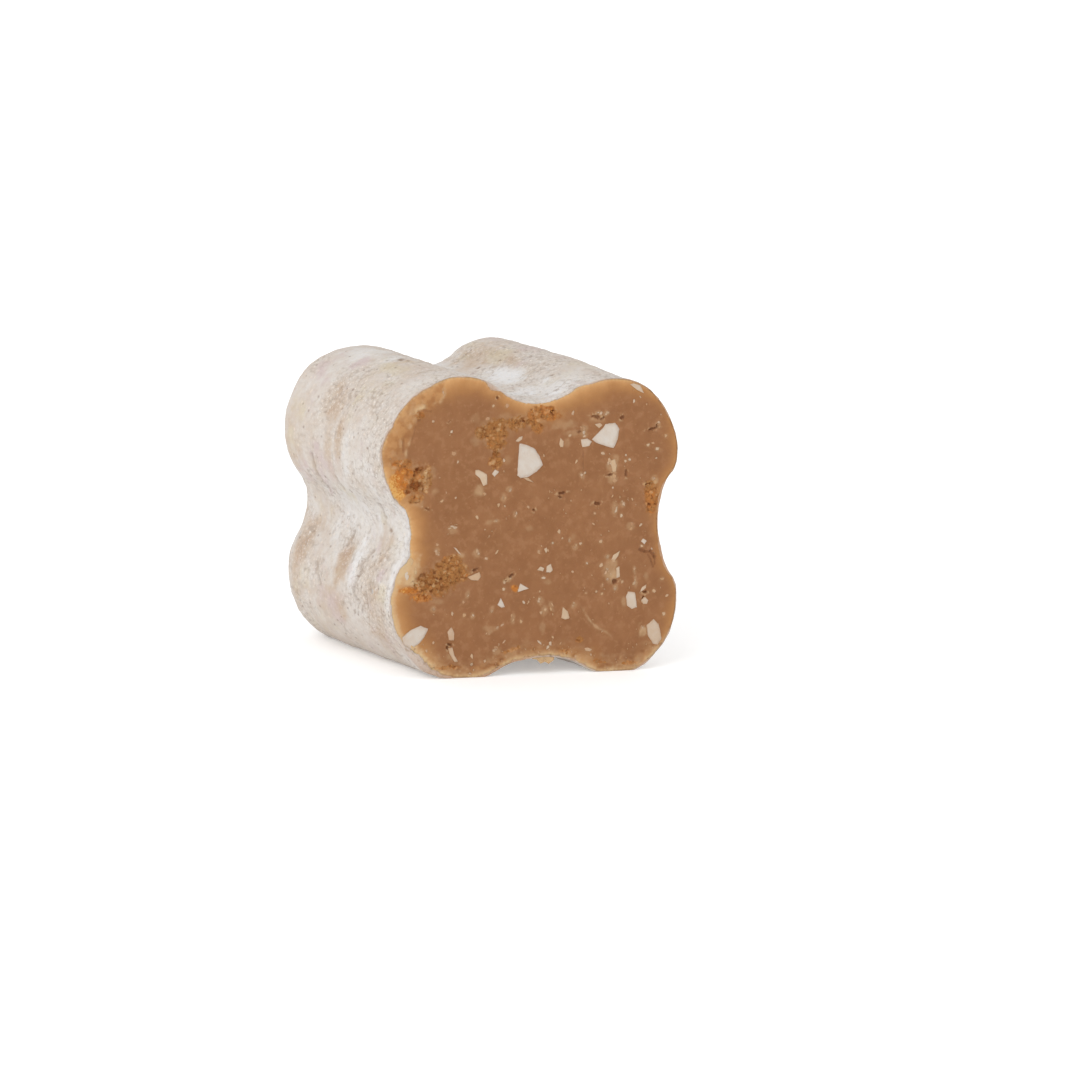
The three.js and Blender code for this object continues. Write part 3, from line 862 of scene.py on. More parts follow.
# Pale spots of crushed nut in the surface: x, z, width, height, strength and rise. Those along the broken
# edge at the upper left, with x below -8.3 and z from 14.8 up, are partly painted highlight on its raised
# lumps.
PALE_SPOTS = (
    (-4.02, 13.1, 0.7, 0.9, 0.45, 0), (8.4, 2.7, 0.6, 0.9, 0.8, 0.02), (6.95, 4.9, 0.35, 0.8, 0.4, 0),
    (-9.2, 7.7, 1.9, 2.2, 1.0, 0.02), (-8.8, 7.1, 0.5, 1.3, 1.0, 0.03), (-9.4, 8.2, 1.0, 1.1, 1.0, 0.02),
    (-8.7, 8.1, 0.6, 0.8, 0.9, 0.02), (-5.9, 1.5, 0.5, 0.5, 0.4, 0), (5.95, 14.5, 0.7, 1.3, 0.5, 0.02),
    (5.9, 7.15, 1.0, 1.5, 0.55, 0.02), (5.9, 13.6, 0.6, 0.6, 0.45, 0.02),
    (-7.95, 13.9, 0.6, 1.6, 0.4, 0.03), (2.4, 16.2, 0.5, 0.6, 0.2, 0), (-2.2, 18.2, 0.8, 0.5, 0.18, 0),
    (-4.3, 16.6, 0.7, 0.8, 0.2, 0), (-4.4, 18.0, 0.7, 0.8, 0.15, 0), (2.9, 16.9, 1.2, 0.5, 0.25, 0),
    (4.6, 17.8, 1.2, 0.5, 0.2, 0), (-3.2, 10.8, 0.5, 0.4, 0.25, 0), (1.2, 6.5, 0.6, 0.4, 0.25, 0),
    (-3.0, 3.4, 1.2, 0.4, 0.25, 0), (0.9, 3.4, 0.4, 1.0, 0.25, 0), (8.6, 6.6, 0.3, 0.6, 0.25, 0),
    (-5.9, 10.3, 0.7, 0.5, 0.35, 0), (-4.1, 8.7, 0.5, 0.6, 0.3, 0), (-0.2, 10.3, 0.5, 0.4, 0.2, 0),
    (3.0, 9.6, 0.5, 0.5, 0.2, 0), (-8.35, 18.98, 0.85, 0.4, 0.45, 0.05),
    (-8.99, 18.72, 0.5, 0.75, 0.45, 0.05), (-8.8, 18.1, 0.4, 0.48, 0.35, 0.04),
    (-9.1, 17.65, 0.44, 0.44, 0.3, 0.03), (-9.8, 16.44, 0.32, 0.6, 0.35, 0.04),
    (-10.3, 15.78, 0.5, 0.5, 0.3, 0.03), (-8.89, 19.23, 0.5, 0.24, 0.3, 0.03),
    (-9.5, 18.4, 0.9, 0.9, 0.2, 0.03), (-10.2, 14.8, 0.4, 0.28, 0.5, 0.03),
    (-8.4, 12.3, 0.9, 0.6, 0.25, 0.03), (-7.4, 14.4, 0.5, 0.8, 0.25, 0.02),
    (-7.2, 13.1, 0.5, 0.5, 0.25, 0.02), (-5.2, 8.6, 0.5, 0.4, 0.3, 0.02), (-6.9, 5.4, 0.9, 0.4, 0.2, 0.02),
    (2.25, 17.5, 1.8, 0.7, 0.32, 0.02), (-2.0, 15.2, 0.5, 0.6, 0.25, 0.02),
    (9.1, 13.4, 0.5, 0.5, 0.35, 0.03),
)
# Small nut chips in their places: x, z, width, height, turn in degrees.
CHIPS = (
    (3.7, 17.2, 0.38, 0.35, 0), (3.7, 16.8, 0.38, 0.42, 0), (4.7, 18.2, 0.45, 0.28, 20),
    (5.3, 18.2, 0.38, 0.28, 30), (2.6, 16.7, 0.23, 0.25, 0), (5.1, 15.4, 0.3, 0.28, 0),
    (5.6, 14.6, 0.3, 0.56, 0), (5.9, 13.6, 0.53, 0.56, 0), (3.6, 13.9, 0.3, 0.35, 0),
    (9.2, 17.3, 0.3, 0.35, 0), (8.5, 15.9, 0.3, 0.21, 0), (9.2, 15.6, 0.3, 0.28, 0),
    (9.8, 16.5, 0.23, 0.28, 0), (6.8, 14.8, 0.23, 0.21, 0), (7.1, 14.9, 0.23, 0.21, 0),
    (6.1, 11.5, 0.38, 0.7, 0), (6.7, 11.8, 0.3, 0.35, 0), (6.6, 11.0, 0.23, 0.28, 0),
    (4.6, 11.2, 0.23, 0.21, 0), (7.3, 10.2, 0.45, 0.42, 0), (9.0, 13.5, 0.38, 0.35, 0),
    (-1.8, 13.1, 0.38, 0.28, 0), (-2.2, 12.5, 0.3, 0.42, 0), (-6.7, 12.4, 0.3, 0.18, 40),
    (-3.5, 18.0, 0.3, 0.28, 0), (-5.9, 15.7, 0.3, 0.28, 0), (-6.7, 19.9, 0.23, 0.56, 0),
    (-3.6, 12.8, 0.23, 0.21, 0), (-1.3, 11.3, 0.23, 0.35, 0), (-2.7, 10.9, 0.38, 0.21, 0),
    (-5.9, 10.5, 0.53, 0.28, 0), (-5.6, 15.1, 0.15, 0.28, 0), (-3.1, 18.9, 0.23, 0.21, 0),
    (-2.1, 18.9, 0.3, 0.28, 0), (-7.0, 9.0, 0.3, 0.35, 0), (-7.0, 9.4, 0.23, 0.21, 0),
    (-6.9, 8.7, 0.23, 0.21, 0), (-4.1, 8.7, 0.38, 0.49, 0), (-3.4, 8.3, 0.26, 0.25, 0),
    (-2.0, 6.6, 0.3, 0.21, 30), (-1.6, 6.8, 0.45, 0.21, 35), (-2.0, 6.1, 0.23, 0.28, 0),
    (-2.9, 4.7, 0.23, 0.42, -20), (-1.3, 4.0, 0.23, 0.56, -5), (-0.7, 3.8, 0.23, 0.28, 0),
    (-3.0, 3.1, 0.38, 0.18, 30), (-2.5, 3.4, 0.38, 0.18, 35), (-2.1, 3.6, 0.3, 0.14, 35),
    (-4.9, 4.4, 0.23, 0.28, 0), (-4.3, 4.3, 0.23, 0.35, 0), (-2.5, 1.8, 0.45, 0.42, 0),
    (-7.2, 4.9, 0.3, 0.35, 0), (-4.7, 5.8, 0.23, 0.49, -15), (-5.0, 5.3, 0.23, 0.28, 0),
    (8.2, 8.8, 0.3, 0.21, 0), (6.1, 7.8, 0.3, 0.21, 0), (5.9, 7.0, 0.38, 0.35, 0),
    (5.3, 6.1, 0.23, 0.28, 0), (6.3, 5.9, 0.3, 0.35, 0), (6.8, 6.3, 0.23, 0.21, 0),
    (7.7, 7.1, 0.19, 0.42, 0), (7.8, 6.2, 0.23, 0.56, 0), (9.8, 6.4, 0.3, 0.28, 0),
    (9.2, 5.6, 0.23, 0.28, 0), (10.0, 3.9, 0.3, 0.28, 0), (0.9, 6.8, 0.3, 0.28, 0),
    (3.2, 8.9, 0.3, 0.35, -20), (3.6, 9.1, 0.23, 0.21, 0), (1.5, 9.2, 0.23, 0.21, 0),
    (2.8, 9.4, 0.15, 0.35, 0), (4.1, 7.7, 0.23, 0.21, 0), (5.1, 9.2, 0.23, 0.28, 0),
    (0.5, 8.7, 0.23, 0.21, 0), (3.2, 4.8, 0.3, 0.35, 0), (1.0, 4.5, 0.38, 0.56, -10),
    (1.5, 4.8, 0.23, 0.56, 20), (0.7, 5.2, 0.38, 0.42, 0), (4.1, 5.6, 0.23, 0.21, 0),
    (5.3, 5.5, 0.23, 0.21, 0), (5.55, 7.35, 0.3, 0.55, 10), (5.15, 7.55, 0.3, 0.3, 0),
    (5.75, 6.55, 0.3, 0.35, 30), (5.6, 8.15, 0.35, 0.25, 20), (8.35, 2.75, 0.28, 0.55, 0),
)
# The broken edge strip at the upper left, where a thin flake of paste came off.
STRIP = (
    (-6.6, 19.6), (-6.89, 19.3), (-7.3, 19.1), (-7.84, 18.8), (-8.3, 18.75), (-8.6, 18.69), (-8.65, 18.13),
    (-8.86, 17.78), (-8.98, 17.01), (-9.15, 16.2), (-9.3, 15.54), (-9.5, 14.9), (-12.5, 14.9),
    (-12.5, 22.0), (-6.6, 22.0),
)


def edge_distance(x, z, polygon):
    """Signed distance to a polygon's edge, positive inside."""
    inside = np.zeros(len(x), bool)
    nearest = np.full(len(x), 1e9)
    for (ax, az), (bx, bz) in zip(polygon, polygon[1:] + polygon[:1]):
        nearest = np.minimum(nearest, along_line(x, z, ax, az, bx, bz))
        with np.errstate(divide="ignore", invalid="ignore"):
            inside ^= ((az > z) != (bz > z)) & (x < ax + (z - az) * (bx - ax) / (bz - az))
    return np.where(inside, nearest, -nearest)


def pocket_reach(x, z, row):
    """1 at the rim of a crumb pocket, 0 at its middle."""
    px, pz, width, height, turn = row[:5]
    cos, sin = math.cos(math.radians(turn)), math.sin(math.radians(turn))
    across, upward = (x - px) * cos + (z - pz) * sin, (z - pz) * cos - (x - px) * sin
    return np.hypot(2 * across / width, 2 * upward / height)


def face_outline(inset):
    """The edge of the paste in the cut plane, that far inside the sugar's lip."""
    size = 1 + GROWTH * cut_y(*points_2d.T) / LENGTH
    out = lump(shares, cut_y(*points_2d.T)) + cut_swell(shares, 0.0) - LIP - inset
    x, z = moved_out(points_2d, normals_2d, size, out)
    return np.stack([x, np.maximum(z, REST_SLOPE * (LIP + inset))], axis=1)


EDGE = face_outline(-FACE_OVERLAP)


def nearest_edge(x, z):
    """Distance to the edge of the face, and which point of the edge is nearest."""
    away, which = np.zeros(len(x)), np.zeros(len(x), int)
    for start in range(0, len(x), 4096):
        part = slice(start, start + 4096)
        gaps = np.hypot(x[part, None] - EDGE[None, ::2, 0], z[part, None] - EDGE[None, ::2, 1])
        which[part] = gaps.argmin(axis=1) * 2
        away[part] = gaps.min(axis=1)
    return away, which


def flat_points(x, z):
    """Places for noise in the cut plane."""
    return np.stack([x, z, 0 * x], axis=1)


def face_swell(x, z):
    """The slow waves that the knife left, as depth below the cut plane."""
    away, _ = nearest_edge(x, z)
    wave = noise(flat_points(x, z), 3.6, 41)
    return 0.05 * wave * (1 - np.exp(-away / 0.6)) + 0.012 * np.exp(-away / 0.1)


class FaceRelief:
    """Depth below the cut plane and the marks of the face, at points x, z."""

    def __init__(self, x, z):
        self.x, self.z = x, z
        flat = self.flat = flat_points(x, z)
        self.away, which = nearest_edge(x, z)
        self.facing, self.share = normals_2d[which], shares[which]
        self.in_strip = edge_distance(x, z, STRIP)
        self.ragged = fractal(flat, 0.5, 51, 4)
        self.gritty = fractal(flat, 0.26, 55, 3)
        self.torn = fractal(flat * (1.0, 0.6, 1.0), 0.6, 73, 3)
        self.torn_line = fractal(flat, 0.24, 97, 3)
        self.depth = face_swell(x, z) + 0.004 * fractal(flat * (1.0, 0.4, 1.0), 0.8, 43, 2)
        self.depth += 0.008 * fractal(flat, 0.35, 47, 3)
        self.shed_strip()
        self.lay_crumb()
        self.raise_ridge()
        self.open_pits()
        self.light_rim()
        self.rub_rim()
        self.set_spots()

    def shed_strip(self):
        """The strip at the upper left lies lower and is rough."""
        flaked = step(-0.1, 0.12, self.in_strip + 0.1 * self.ragged) * step(2.1, 1.0, self.away)
        flaked *= 0.7 + 0.3 * step(15.0, 18.5, self.z)
        rough = 0.05 + 0.04 * noise(self.flat, 0.8, 53) + 0.045 * self.torn
        self.depth += flaked * rough * step(0.0, 0.3, self.away)
        self.flaked = flaked

    def lay_crumb(self):
        """Biscuit crumb: packed grains with cracks between them, smooth where it is golden, with painted
        shade in the cracks and pores.
        """
        flat, zero = self.flat, np.zeros(len(self.x))
        crumb, hollow, halo, amber, weight = zero, zero, zero, zero, zero + 1e-6
        for row in POCKETS:
            reach = pocket_reach(self.x, self.z, row) + 0.35 * self.ragged
            mask = step(1.3, 0.75, reach)
            share = np.exp(-1.5 * reach**2) / (row[2] * row[3])
            amber = amber + share * row[5]
            weight = weight + share
            crumb = np.maximum(crumb, mask)
            hollow = np.maximum(hollow, mask * row[6])
            if row[2] > 1.0:
                halo = np.maximum(halo, step(2.0, 1.1, reach))
        amber = amber / weight + 0.1 * fractal(flat, 0.55, 89, 2) * (amber / weight > 0.62)
        loose = np.stack([noise(flat, 0.3, 75), noise(flat, 0.3, 76), zero], axis=1)
        near_grain, self.own = cells(flat + 0.06 * loose, CRUMB_SIZE, 77)
        self.packed = np.clip(1 - (near_grain / 0.72) ** 2, 0, 1)
        self.sandy = crumb * step(0.92, 0.66, amber)
        self.depth += hollow * (0.8 + 0.4 * self.gritty) - 0.1 * self.sandy * self.packed
        # Painted shade in the cracks between grains and in the pores.
        self.cracks = step(0.4, 0.06, self.packed) * self.sandy
        self.cracks *= step(-0.5, 0.3, noise(flat, 0.6, 79))
        pore_away, pore_value = cells(flat + 0.1 * loose, PORE_SPACING, 99)
        self.pores = step(0.44, 0.22, pore_away) * (pore_value > 0.5) * self.sandy
        self.pores *= step(0.03, 0.06, hollow)
        self.depth += 0.05 * self.pores
        self.crumb, self.halo, self.amber = crumb, halo, amber

    def raise_ridge(self):
        """The pale broken edge beside the strip stands up. Its paleness is partly the broken paste and
        partly a painted highlight on the raised edge.
        """
        ridge_and_highlight = np.exp(-(((self.in_strip - 0.1 + 0.1 * self.ragged) / 0.13) ** 2))
        ridge_and_highlight *= step(-0.1, 0.5, fractal(self.flat, 0.9, 87, 2))
        self.ridge_and_highlight = ridge_and_highlight * step(14.9, 15.8, self.z) * step(20.0, 18.9, self.z)
        self.depth -= 0.06 * self.ridge_and_highlight

    def open_pits(self):
        """Crevices with raised flanks, marks of the blade and cracks, dug in and given painted shade."""
        self.painted_crevice_shade, self.flank = np.zeros(len(self.x)), np.zeros(len(self.x))
        for row in PITS:
            reach = pocket_reach(self.x, self.z, row) + 0.25 * self.ragged
            mask = step(1.1, 0.75, reach + 0.5 * self.torn_line)
            self.painted_crevice_shade = np.maximum(self.painted_crevice_shade, mask * min(1.0, row[5] / 0.14))
            self.flank = np.maximum(self.flank, step(2.7, 1.5, reach) * step(0.8, 1.3, reach))
            self.depth += 0.7 * mask * row[5]
        self.flank *= step(0.0, 0.5, self.torn_line)
        self.depth -= 0.03 * self.flank
        for *ends, width, deep, dark in CUTS:
            gap = along_line(self.x, self.z, *ends) + 0.04 * self.ragged + 0.03 * self.torn_line
            mask = step(width, 0.2 * width, gap)
            self.depth += deep * mask
            self.painted_crevice_shade = np.maximum(self.painted_crevice_shade, dark * mask)

    def light_rim(self):
        """Painted light: the rim is painted paler and more orange, as if light came through it, most at the
        left and the top and in a band along the bottom; its outermost edge gets a painted highlight.
        """
        away, ragged, flat = self.away, self.ragged, self.flat
        right, up = np.clip(self.facing, 0, 1).T
        left, down = np.clip(-self.facing, 0, 1).T
        lit = np.clip(0.92 * left - 0.7 * right + 0.86 * up, 0, 1)
        strength = (0.24 + 0.8 * lit + 0.12 * down + 0.24 * right) * (1 - 0.012 * self.x * up)
        reach = 0.28 + 0.64 * lit + 0.3 * down + 0.34 * right
        painted_glow = strength * np.exp(-away / reach) * (1 + 0.15 * noise(flat, 1.2, 59) + 0.1 * ragged)
        band = step(1.5, 0.4, away + 0.45 * ragged) * step(3.4, 1.2, self.z)
        crumbly = step(-0.1, 0.7, fractal(flat, 0.45, 83, 3))
        # The rolled lower rim: real lumps, which marks() paints paler on top, with painted shade in the
        # troughs.
        self.rolled_relief_and_shading = band * fractal(flat * (0.6, 1.0, 1.0), 0.55, 95, 3)
        self.painted_glow = np.maximum(painted_glow, (0.17 + 0.13 * crumbly) * band)
        self.depth -= 0.03 * band * self.packed * crumbly + 0.06 * self.rolled_relief_and_shading
        # A painted highlight along the outermost edge, strongest where the painted light is.
        self.painted_rim_highlight = step(0.2, 0.03, away + 0.05 * ragged) * 0.6 * strength
        self.painted_rim_highlight *= step(-0.9, 0.5, 1 - 2 * self.facing[:, 0])
        self.low_rim = step(0.42, 0.08, away + 0.12 * ragged) * step(3.2, 1.0, self.z)
        self.band = band

    def rub_rim(self):
        """The paste is rubbed pale along the left of the lower left lobe."""
        self.rubbed = step(0.52, 0.16, self.away + 0.16 * self.ragged + 0.05 * self.torn_line)
        self.rubbed *= step(0.062, 0.04, apart(self.share, 0.055))
        self.depth += 0.03 * self.rubbed * self.torn_line

    def set_spots(self):
        """A smear at the lower right, and crushed nut in and around spots and chips."""
        x, z = self.x, self.z
        curve = np.abs((z - 4.37) + 1.02 * (x - 3.97) + 0.25 * np.sin((x - 3.97) * 2.2)) * 0.7
        self.smear = step(0.12, 0.0, curve + 0.07 * self.ragged) * step(3.6, 4.2, x) * step(6.3, 5.5, x)
        patch = np.zeros(len(x))
        for px, pz, width, height, amount, rise in PALE_SPOTS:
            gap = np.hypot((x - px) / width, (z - pz) / height) * 2 + 0.45 * self.ragged
            mask = step(1.35, 0.4, gap)
            patch = np.maximum(patch, amount * mask * (0.8 + 0.35 * self.torn))
            self.depth -= rise * mask * (1 + 0.5 * self.gritty)
        for row in CHIPS:
            soft_rim = step(1.9, 0.8, pocket_reach(x, z, row) + 0.5 * self.torn_line)
            patch = np.maximum(patch, (0.26 if max(row[2:4]) > BIG_CHIP else 0.13) * soft_rim)
        self.patch = patch

    def marks(self):
        """Vertex values of the face, all of 0 to 1."""
        band, rolled_relief_and_shading, sandy = self.band, self.rolled_relief_and_shading, self.sandy
        # pale is the paste's own paleness with painted highlights from the rim edge, the rolled lumps and
        # the broken ridge.
        pale = 0.5 * self.low_rim + 0.4 * self.smear + self.painted_rim_highlight + self.patch
        pale = pale + 0.14 * band + 0.25 * rolled_relief_and_shading + 0.75 * self.ridge_and_highlight
        pale += 0.45 * self.flank + 0.62 * self.rubbed
        halo = np.clip(self.halo - self.crumb, 0, 1) * step(-0.2, 0.8, self.ragged)
        pale += 0.22 * self.flaked * step(0.2, 0.9, self.torn) + 0.2 * halo
        crumbs = 0.3 * band * step(0.3, 0.9, fractal(self.flat, 0.3, 85, 2))
        pale += crumbs + 0.55 * sandy * self.packed * step(0.62, 0.9, self.own)
        amber = self.amber + 0.22 * (self.own - 0.5) * sandy + 0.06 * self.gritty * sandy
        # Painted shade in pits, cuts, cracks between grains, pores and the troughs of the rolled rim.
        shade = 0.6 * self.painted_crevice_shade + 0.55 * self.cracks + 0.85 * self.pores
        shade += 0.35 * step(-0.3, -0.9, rolled_relief_and_shading)
        values = {"painted_glow": self.painted_glow, "crumb": self.crumb, "amber": amber, "pale": pale, "shade": shade}
        return {"flake": self.flaked * 0.5, **{name: np.clip(v, 0, 1) for name, v in values.items()}}


def on_face(x, z, depth):
    """Points of the cut plane, moved into the truffle by depth."""
    plane = np.stack([x, cut_y(x, z), z], axis=1)
    return plane - CUT_NORMAL * np.asarray(depth)[:, None]


def hex_grid(spacing, low, high, draws):
    """Loose triangular grid of points over a rectangle."""
    rows = np.arange(low[1], high[1], spacing * 0.866)
    columns = np.arange(low[0], high[0], spacing)
    x, z = np.meshgrid(columns, rows)
    x = x + (np.arange(len(rows)) % 2)[:, None] * spacing / 2
    grid = np.stack([x.ravel(), z.ravel()], axis=1)
    return grid + draws.uniform(-0.12, 0.12, grid.shape) * spacing


def in_pocket(points):
    """Which points lie in crumb, in a crevice or on a cut, and need a finer grid."""
    x, z = points.T
    reach = [pocket_reach(x, z, row) for row in POCKETS + PITS]
    near_cut = [along_line(x, z, *row[:4]) for row in CUTS]
    return (np.min(reach, axis=0) < FINE_REACH) | (np.min(near_cut, axis=0) < FINE_GAP)


def make_face():
    draws = np.random.default_rng(5)
    low, high = EDGE.min(axis=0), EDGE.max(axis=0)
    coarse = hex_grid(FACE_STEP, low, high, draws)
    fine = hex_grid(CRUMB_STEP, low, high, draws)
    inner = np.vstack([coarse[~in_pocket(coarse)], fine[in_pocket(fine)]])
    inner = inner[edge_distance(*inner.T, [tuple(p) for p in EDGE[::2]]) > EDGE_GAP]
    vertices = [Vector(p) for p in np.vstack([EDGE, inner]).tolist()]
    found = delaunay_2d_cdt(vertices, [], [list(range(AROUND))], 1, 1e-6)
    x, z = np.array([tuple(v) for v in found[0]]).T
    relief = FaceRelief(x, z)
    layers = [on_face(x, z, relief.depth)]
    for inset, inward in HIDDEN_LAYERS:
        x, z = face_outline(inset).T
        layers.append(np.stack([x, cut_y(x, z) + inward, z], axis=1))
    points = np.vstack([*layers, layers[-1].mean(axis=0)])
    rim = np.arange(AROUND)
    wall, behind = len(layers[0]) + rim, len(layers[0]) + AROUND + rim
    faces = [np.array(found[2]), bridge(rim, wall), bridge(wall, behind), fan(behind, len(points) - 1)]
    hidden = np.zeros(len(points) - len(layers[0]))
    marks = {name: np.concatenate([v, hidden]) for name, v in relief.marks().items()}
    add_piece("cut_face", points, np.vstack(faces), marks, face_look())


make_face()

# ---------------------------------------------------------------- nut pieces

# Outlines of the large hazelnut pieces in the cut face: tone (1 is the palest), warmth, corners.
NUTS = (
    (0.95, 0.05, ((-1.13, 16.28), (-0.59, 16.18), (0.06, 15.83), (0.43, 15.29), (0.65, 14.68),
        (0.19, 14.24), (-0.5, 13.86), (-1.02, 13.84), (-1.25, 14.02))),
    (0.45, 0.2, ((-0.87, 13.91), (-0.43, 13.86), (0.03, 13.49), (-0.5, 13.65))),
    (0.92, 0.05, ((4.23, 16.4), (5.1, 17.21), (5.25, 17.44), (5.98, 17.53), (6.32, 17.07), (6.18, 16.35),
        (5.91, 15.75), (5.37, 15.88), (4.56, 16.17))),
    (0.78, 0.1, ((3.42, 16.42), (3.9, 16.47), (4.27, 16.25), (4.08, 15.95), (3.52, 15.85))),
    (0.55, 0.2, ((4.44, 17.46), (4.85, 17.53), (5.05, 17.37), (4.77, 17.15))),
    (0.75, 0.35, ((-4.33, 14.49), (-4.11, 14.52), (-3.43, 14.18), (-3.42, 13.47), (-3.71, 13.34),
        (-3.98, 13.91), (-4.33, 14.21))),
    (0.8, 0.1, ((7.09, 5.27), (7.24, 5.59), (7.78, 5.53), (7.91, 4.87), (7.96, 4.43), (7.58, 4.31),
        (7.19, 4.61))),
    (0.66, 0.05, ((8.69, 3.18), (9.22, 3.59), (9.62, 3.21), (9.88, 2.18), (9.59, 1.69), (9.19, 1.85),
        (8.79, 2.45))),
    (0.88, 0.0, ((-9.48, 2.96), (-8.89, 3.48), (-8.08, 3.8), (-7.55, 3.56), (-7.77, 2.97), (-8.2, 2.48),
        (-8.79, 2.15), (-9.32, 2.53))),
    (0.58, 0.15, ((-6.03, 2.11), (-5.74, 2.17), (-5.57, 1.59), (-5.3, 1.15), (-5.56, 1.13),
        (-5.95, 1.75))),
    (0.5, 0.05, ((-6.0, 2.7), (-6.12, 3.26), (-5.84, 3.6), (-5.6, 3.17), (-5.63, 2.61))),
    (0.9, 0.1, ((-1.0, 5.85), (-0.83, 6.49), (-0.17, 6.07))),
    (0.86, 0.05, ((-2.49, 5.01), (-2.24, 5.5), (-1.92, 4.85), (-2.19, 4.79))),
    (0.45, 0.2, ((-4.73, 7.05), (-4.26, 7.25), (-3.86, 7.37), (-3.74, 7.02), (-3.95, 6.75),
        (-4.47, 6.83))),
    (0.6, 0.3, ((2.26, 3.92), (2.39, 4.69), (2.77, 4.35), (2.9, 3.89), (2.56, 3.76))),
    (0.68, 0.1, ((6.97, 20.21), (7.3, 20.26), (7.78, 20.11), (8.08, 19.54), (7.55, 19.78))),
    (0.72, 0.15, ((1.06, 7.16), (1.09, 7.62), (1.42, 7.78), (1.54, 7.32), (1.36, 7.12))),
    (0.62, 0.15, ((0.39, 7.36), (0.61, 7.6), (0.95, 7.48), (0.84, 7.24))),
    (0.8, 0.05, ((8.09, 9.14), (8.27, 9.35), (8.58, 9.13), (8.4, 8.89))),
    (0.7, 0.1, ((8.24, 4.96), (8.54, 5.16), (8.81, 4.94), (8.7, 4.66), (8.4, 4.64))),
    (0.6, 0.1, ((8.15, 5.53), (8.29, 5.88), (8.63, 6.05), (8.6, 5.8), (8.34, 5.6))),
    (0.72, 0.25, ((6.29, 7.3), (6.55, 7.43), (6.6, 6.65), (6.34, 6.59))),
    (0.6, 0.3, ((5.9, 7.88), (6.05, 8.22), (6.53, 8.49), (6.42, 8.14), (6.17, 7.8))),
    (0.45, 0.1, ((4.04, 1.72), (4.33, 1.75), (4.68, 1.59), (4.49, 1.46), (4.15, 1.54))),
    (0.66, 0.05, ((-5.84, 9.2), (-5.62, 9.11), (-5.2, 8.6), (-5.43, 8.72))),
    (0.78, 0.05, ((-3.13, 14.18), (-2.87, 14.49), (-2.53, 14.34), (-2.9, 13.97))),
    (0.6, 0.15, ((-1.42, 16.43), (-1.16, 16.7), (-0.9, 16.77), (-0.93, 16.52), (-1.22, 16.36))),
    (0.58, 0.45, ((5.66, 14.9), (6.02, 14.98), (6.14, 14.5), (6.1, 14.1), (5.86, 14.06), (5.74, 14.42))),
    (0.55, 0.3, ((1.81, 16.14), (1.91, 16.59), (2.18, 16.34), (2.12, 15.92), (1.93, 15.89))),
    (0.85, 0.85, ((-9.1, 8.45), (-8.9, 8.62), (-8.66, 8.35), (-8.8, 7.98), (-9.2, 7.92), (-9.26, 8.15))),
    (0.95, 0.3, ((-9.32, 7.76), (-9.05, 7.8), (-9.0, 7.1), (-9.15, 6.92), (-9.34, 7.2))),
    (0.8, 0.85, ((-8.8, 7.8), (-8.5, 7.85), (-8.45, 7.4), (-8.7, 7.3))),
)
NUT_SUNK = 0.45
# How far the paste shines through at each level of a chip, from its foot to its top.
EDGE_MARKS = (1.0, 0.85, 0.7, 0.3, 0.05, 0.0)


class Heap:
    """Many small closed bodies gathered into one mesh."""

    def __init__(self):
        self.points, self.faces, self.marks, self.count = [], [], {}, 0

    def add(self, points, faces, **marks):
        self.points.append(points)
        self.faces.append(np.asarray(faces) + self.count)
        for name, values in marks.items():
            self.marks.setdefault(name, []).append(np.broadcast_to(values, (len(points),)))
        self.count += len(points)

    def build(self, name, material):
        marks = {mark: np.concatenate(values) for mark, values in self.marks.items()}
        add_piece(name, np.vstack(self.points), np.vstack(self.faces), marks, material)


def chip(heap, corners, tone, warm, draws, edge_step=0.09):
    """A nut chip with a broken outline, set in the cut plane and cut almost level with it."""
    ring = []
    for a, b in zip(corners, corners[1:] + corners[:1]):
        parts = max(1, round(math.dist(a, b) / edge_step))
        ring += [(a[0] + (b[0] - a[0]) * k / parts, a[1] + (b[1] - a[1]) * k / parts) for k in range(parts)]
    ring = np.array(ring)
    if sum(a[0] * b[1] - b[0] * a[1] for a, b in zip(ring, np.roll(ring, -1, axis=0))) < 0:
        ring = ring[::-1]
    middle = ring.mean(axis=0)
    size = math.sqrt(np.ptp(ring[:, 0]) * np.ptp(ring[:, 1]))
    outline = flat_points(*ring.T)
    broken = 0.07 * fractal(outline, 0.45, 81, 3) + 0.03 * noise(outline, 0.12, 83)
    ring = middle + (ring - middle) * (1 + np.clip(broken / max(size, 0.35), -0.3, 0.3))[:, None]
    proud = 0.014 + 0.016 * min(size, 1.0)
    lean = draws.normal(0, 0.012, 2)
    sharp = min(0.3, 0.05 / size)
    # Size and depth of each ring of the chip, from its foot to its top.
    levels = ((0.86, NUT_SUNK * min(1, size)), (1.0, 0.06), (1 - sharp * 0.3, -proud * 0.2),
              (1 - sharp, -proud), (0.75, -proud * 1.2), (0.45, -proud * 1.3))
    points = []
    for shrink, level in levels:
        flat = middle + (ring - middle) * shrink
        depth = face_swell(*flat.T) + level + (flat - middle) @ lean * (level < 0)
        depth += draws.normal(0, 0.004, len(flat)) * (level < 0)
        points.append(on_face(*flat.T, depth))
    for _, level in (levels[0], levels[-1]):
        points.append(on_face(*middle[:, None], level + face_swell(*middle[:, None])))
    rings = np.arange(len(levels) * len(ring)).reshape(len(levels), -1)
    faces = [bridge(outer, inner)[:, ::-1] for outer, inner in zip(rings[:-1], rings[1:])]
    faces += [fan(rings[0], rings.size), fan(rings[-1], rings.size + 1)[:, (0, 2, 1)]]
    edge = np.append(np.repeat(EDGE_MARKS, len(ring)), (1.0, 0.0))
    heap.add(np.vstack(points), np.vstack(faces), tone=tone, warm=warm, edge=edge)


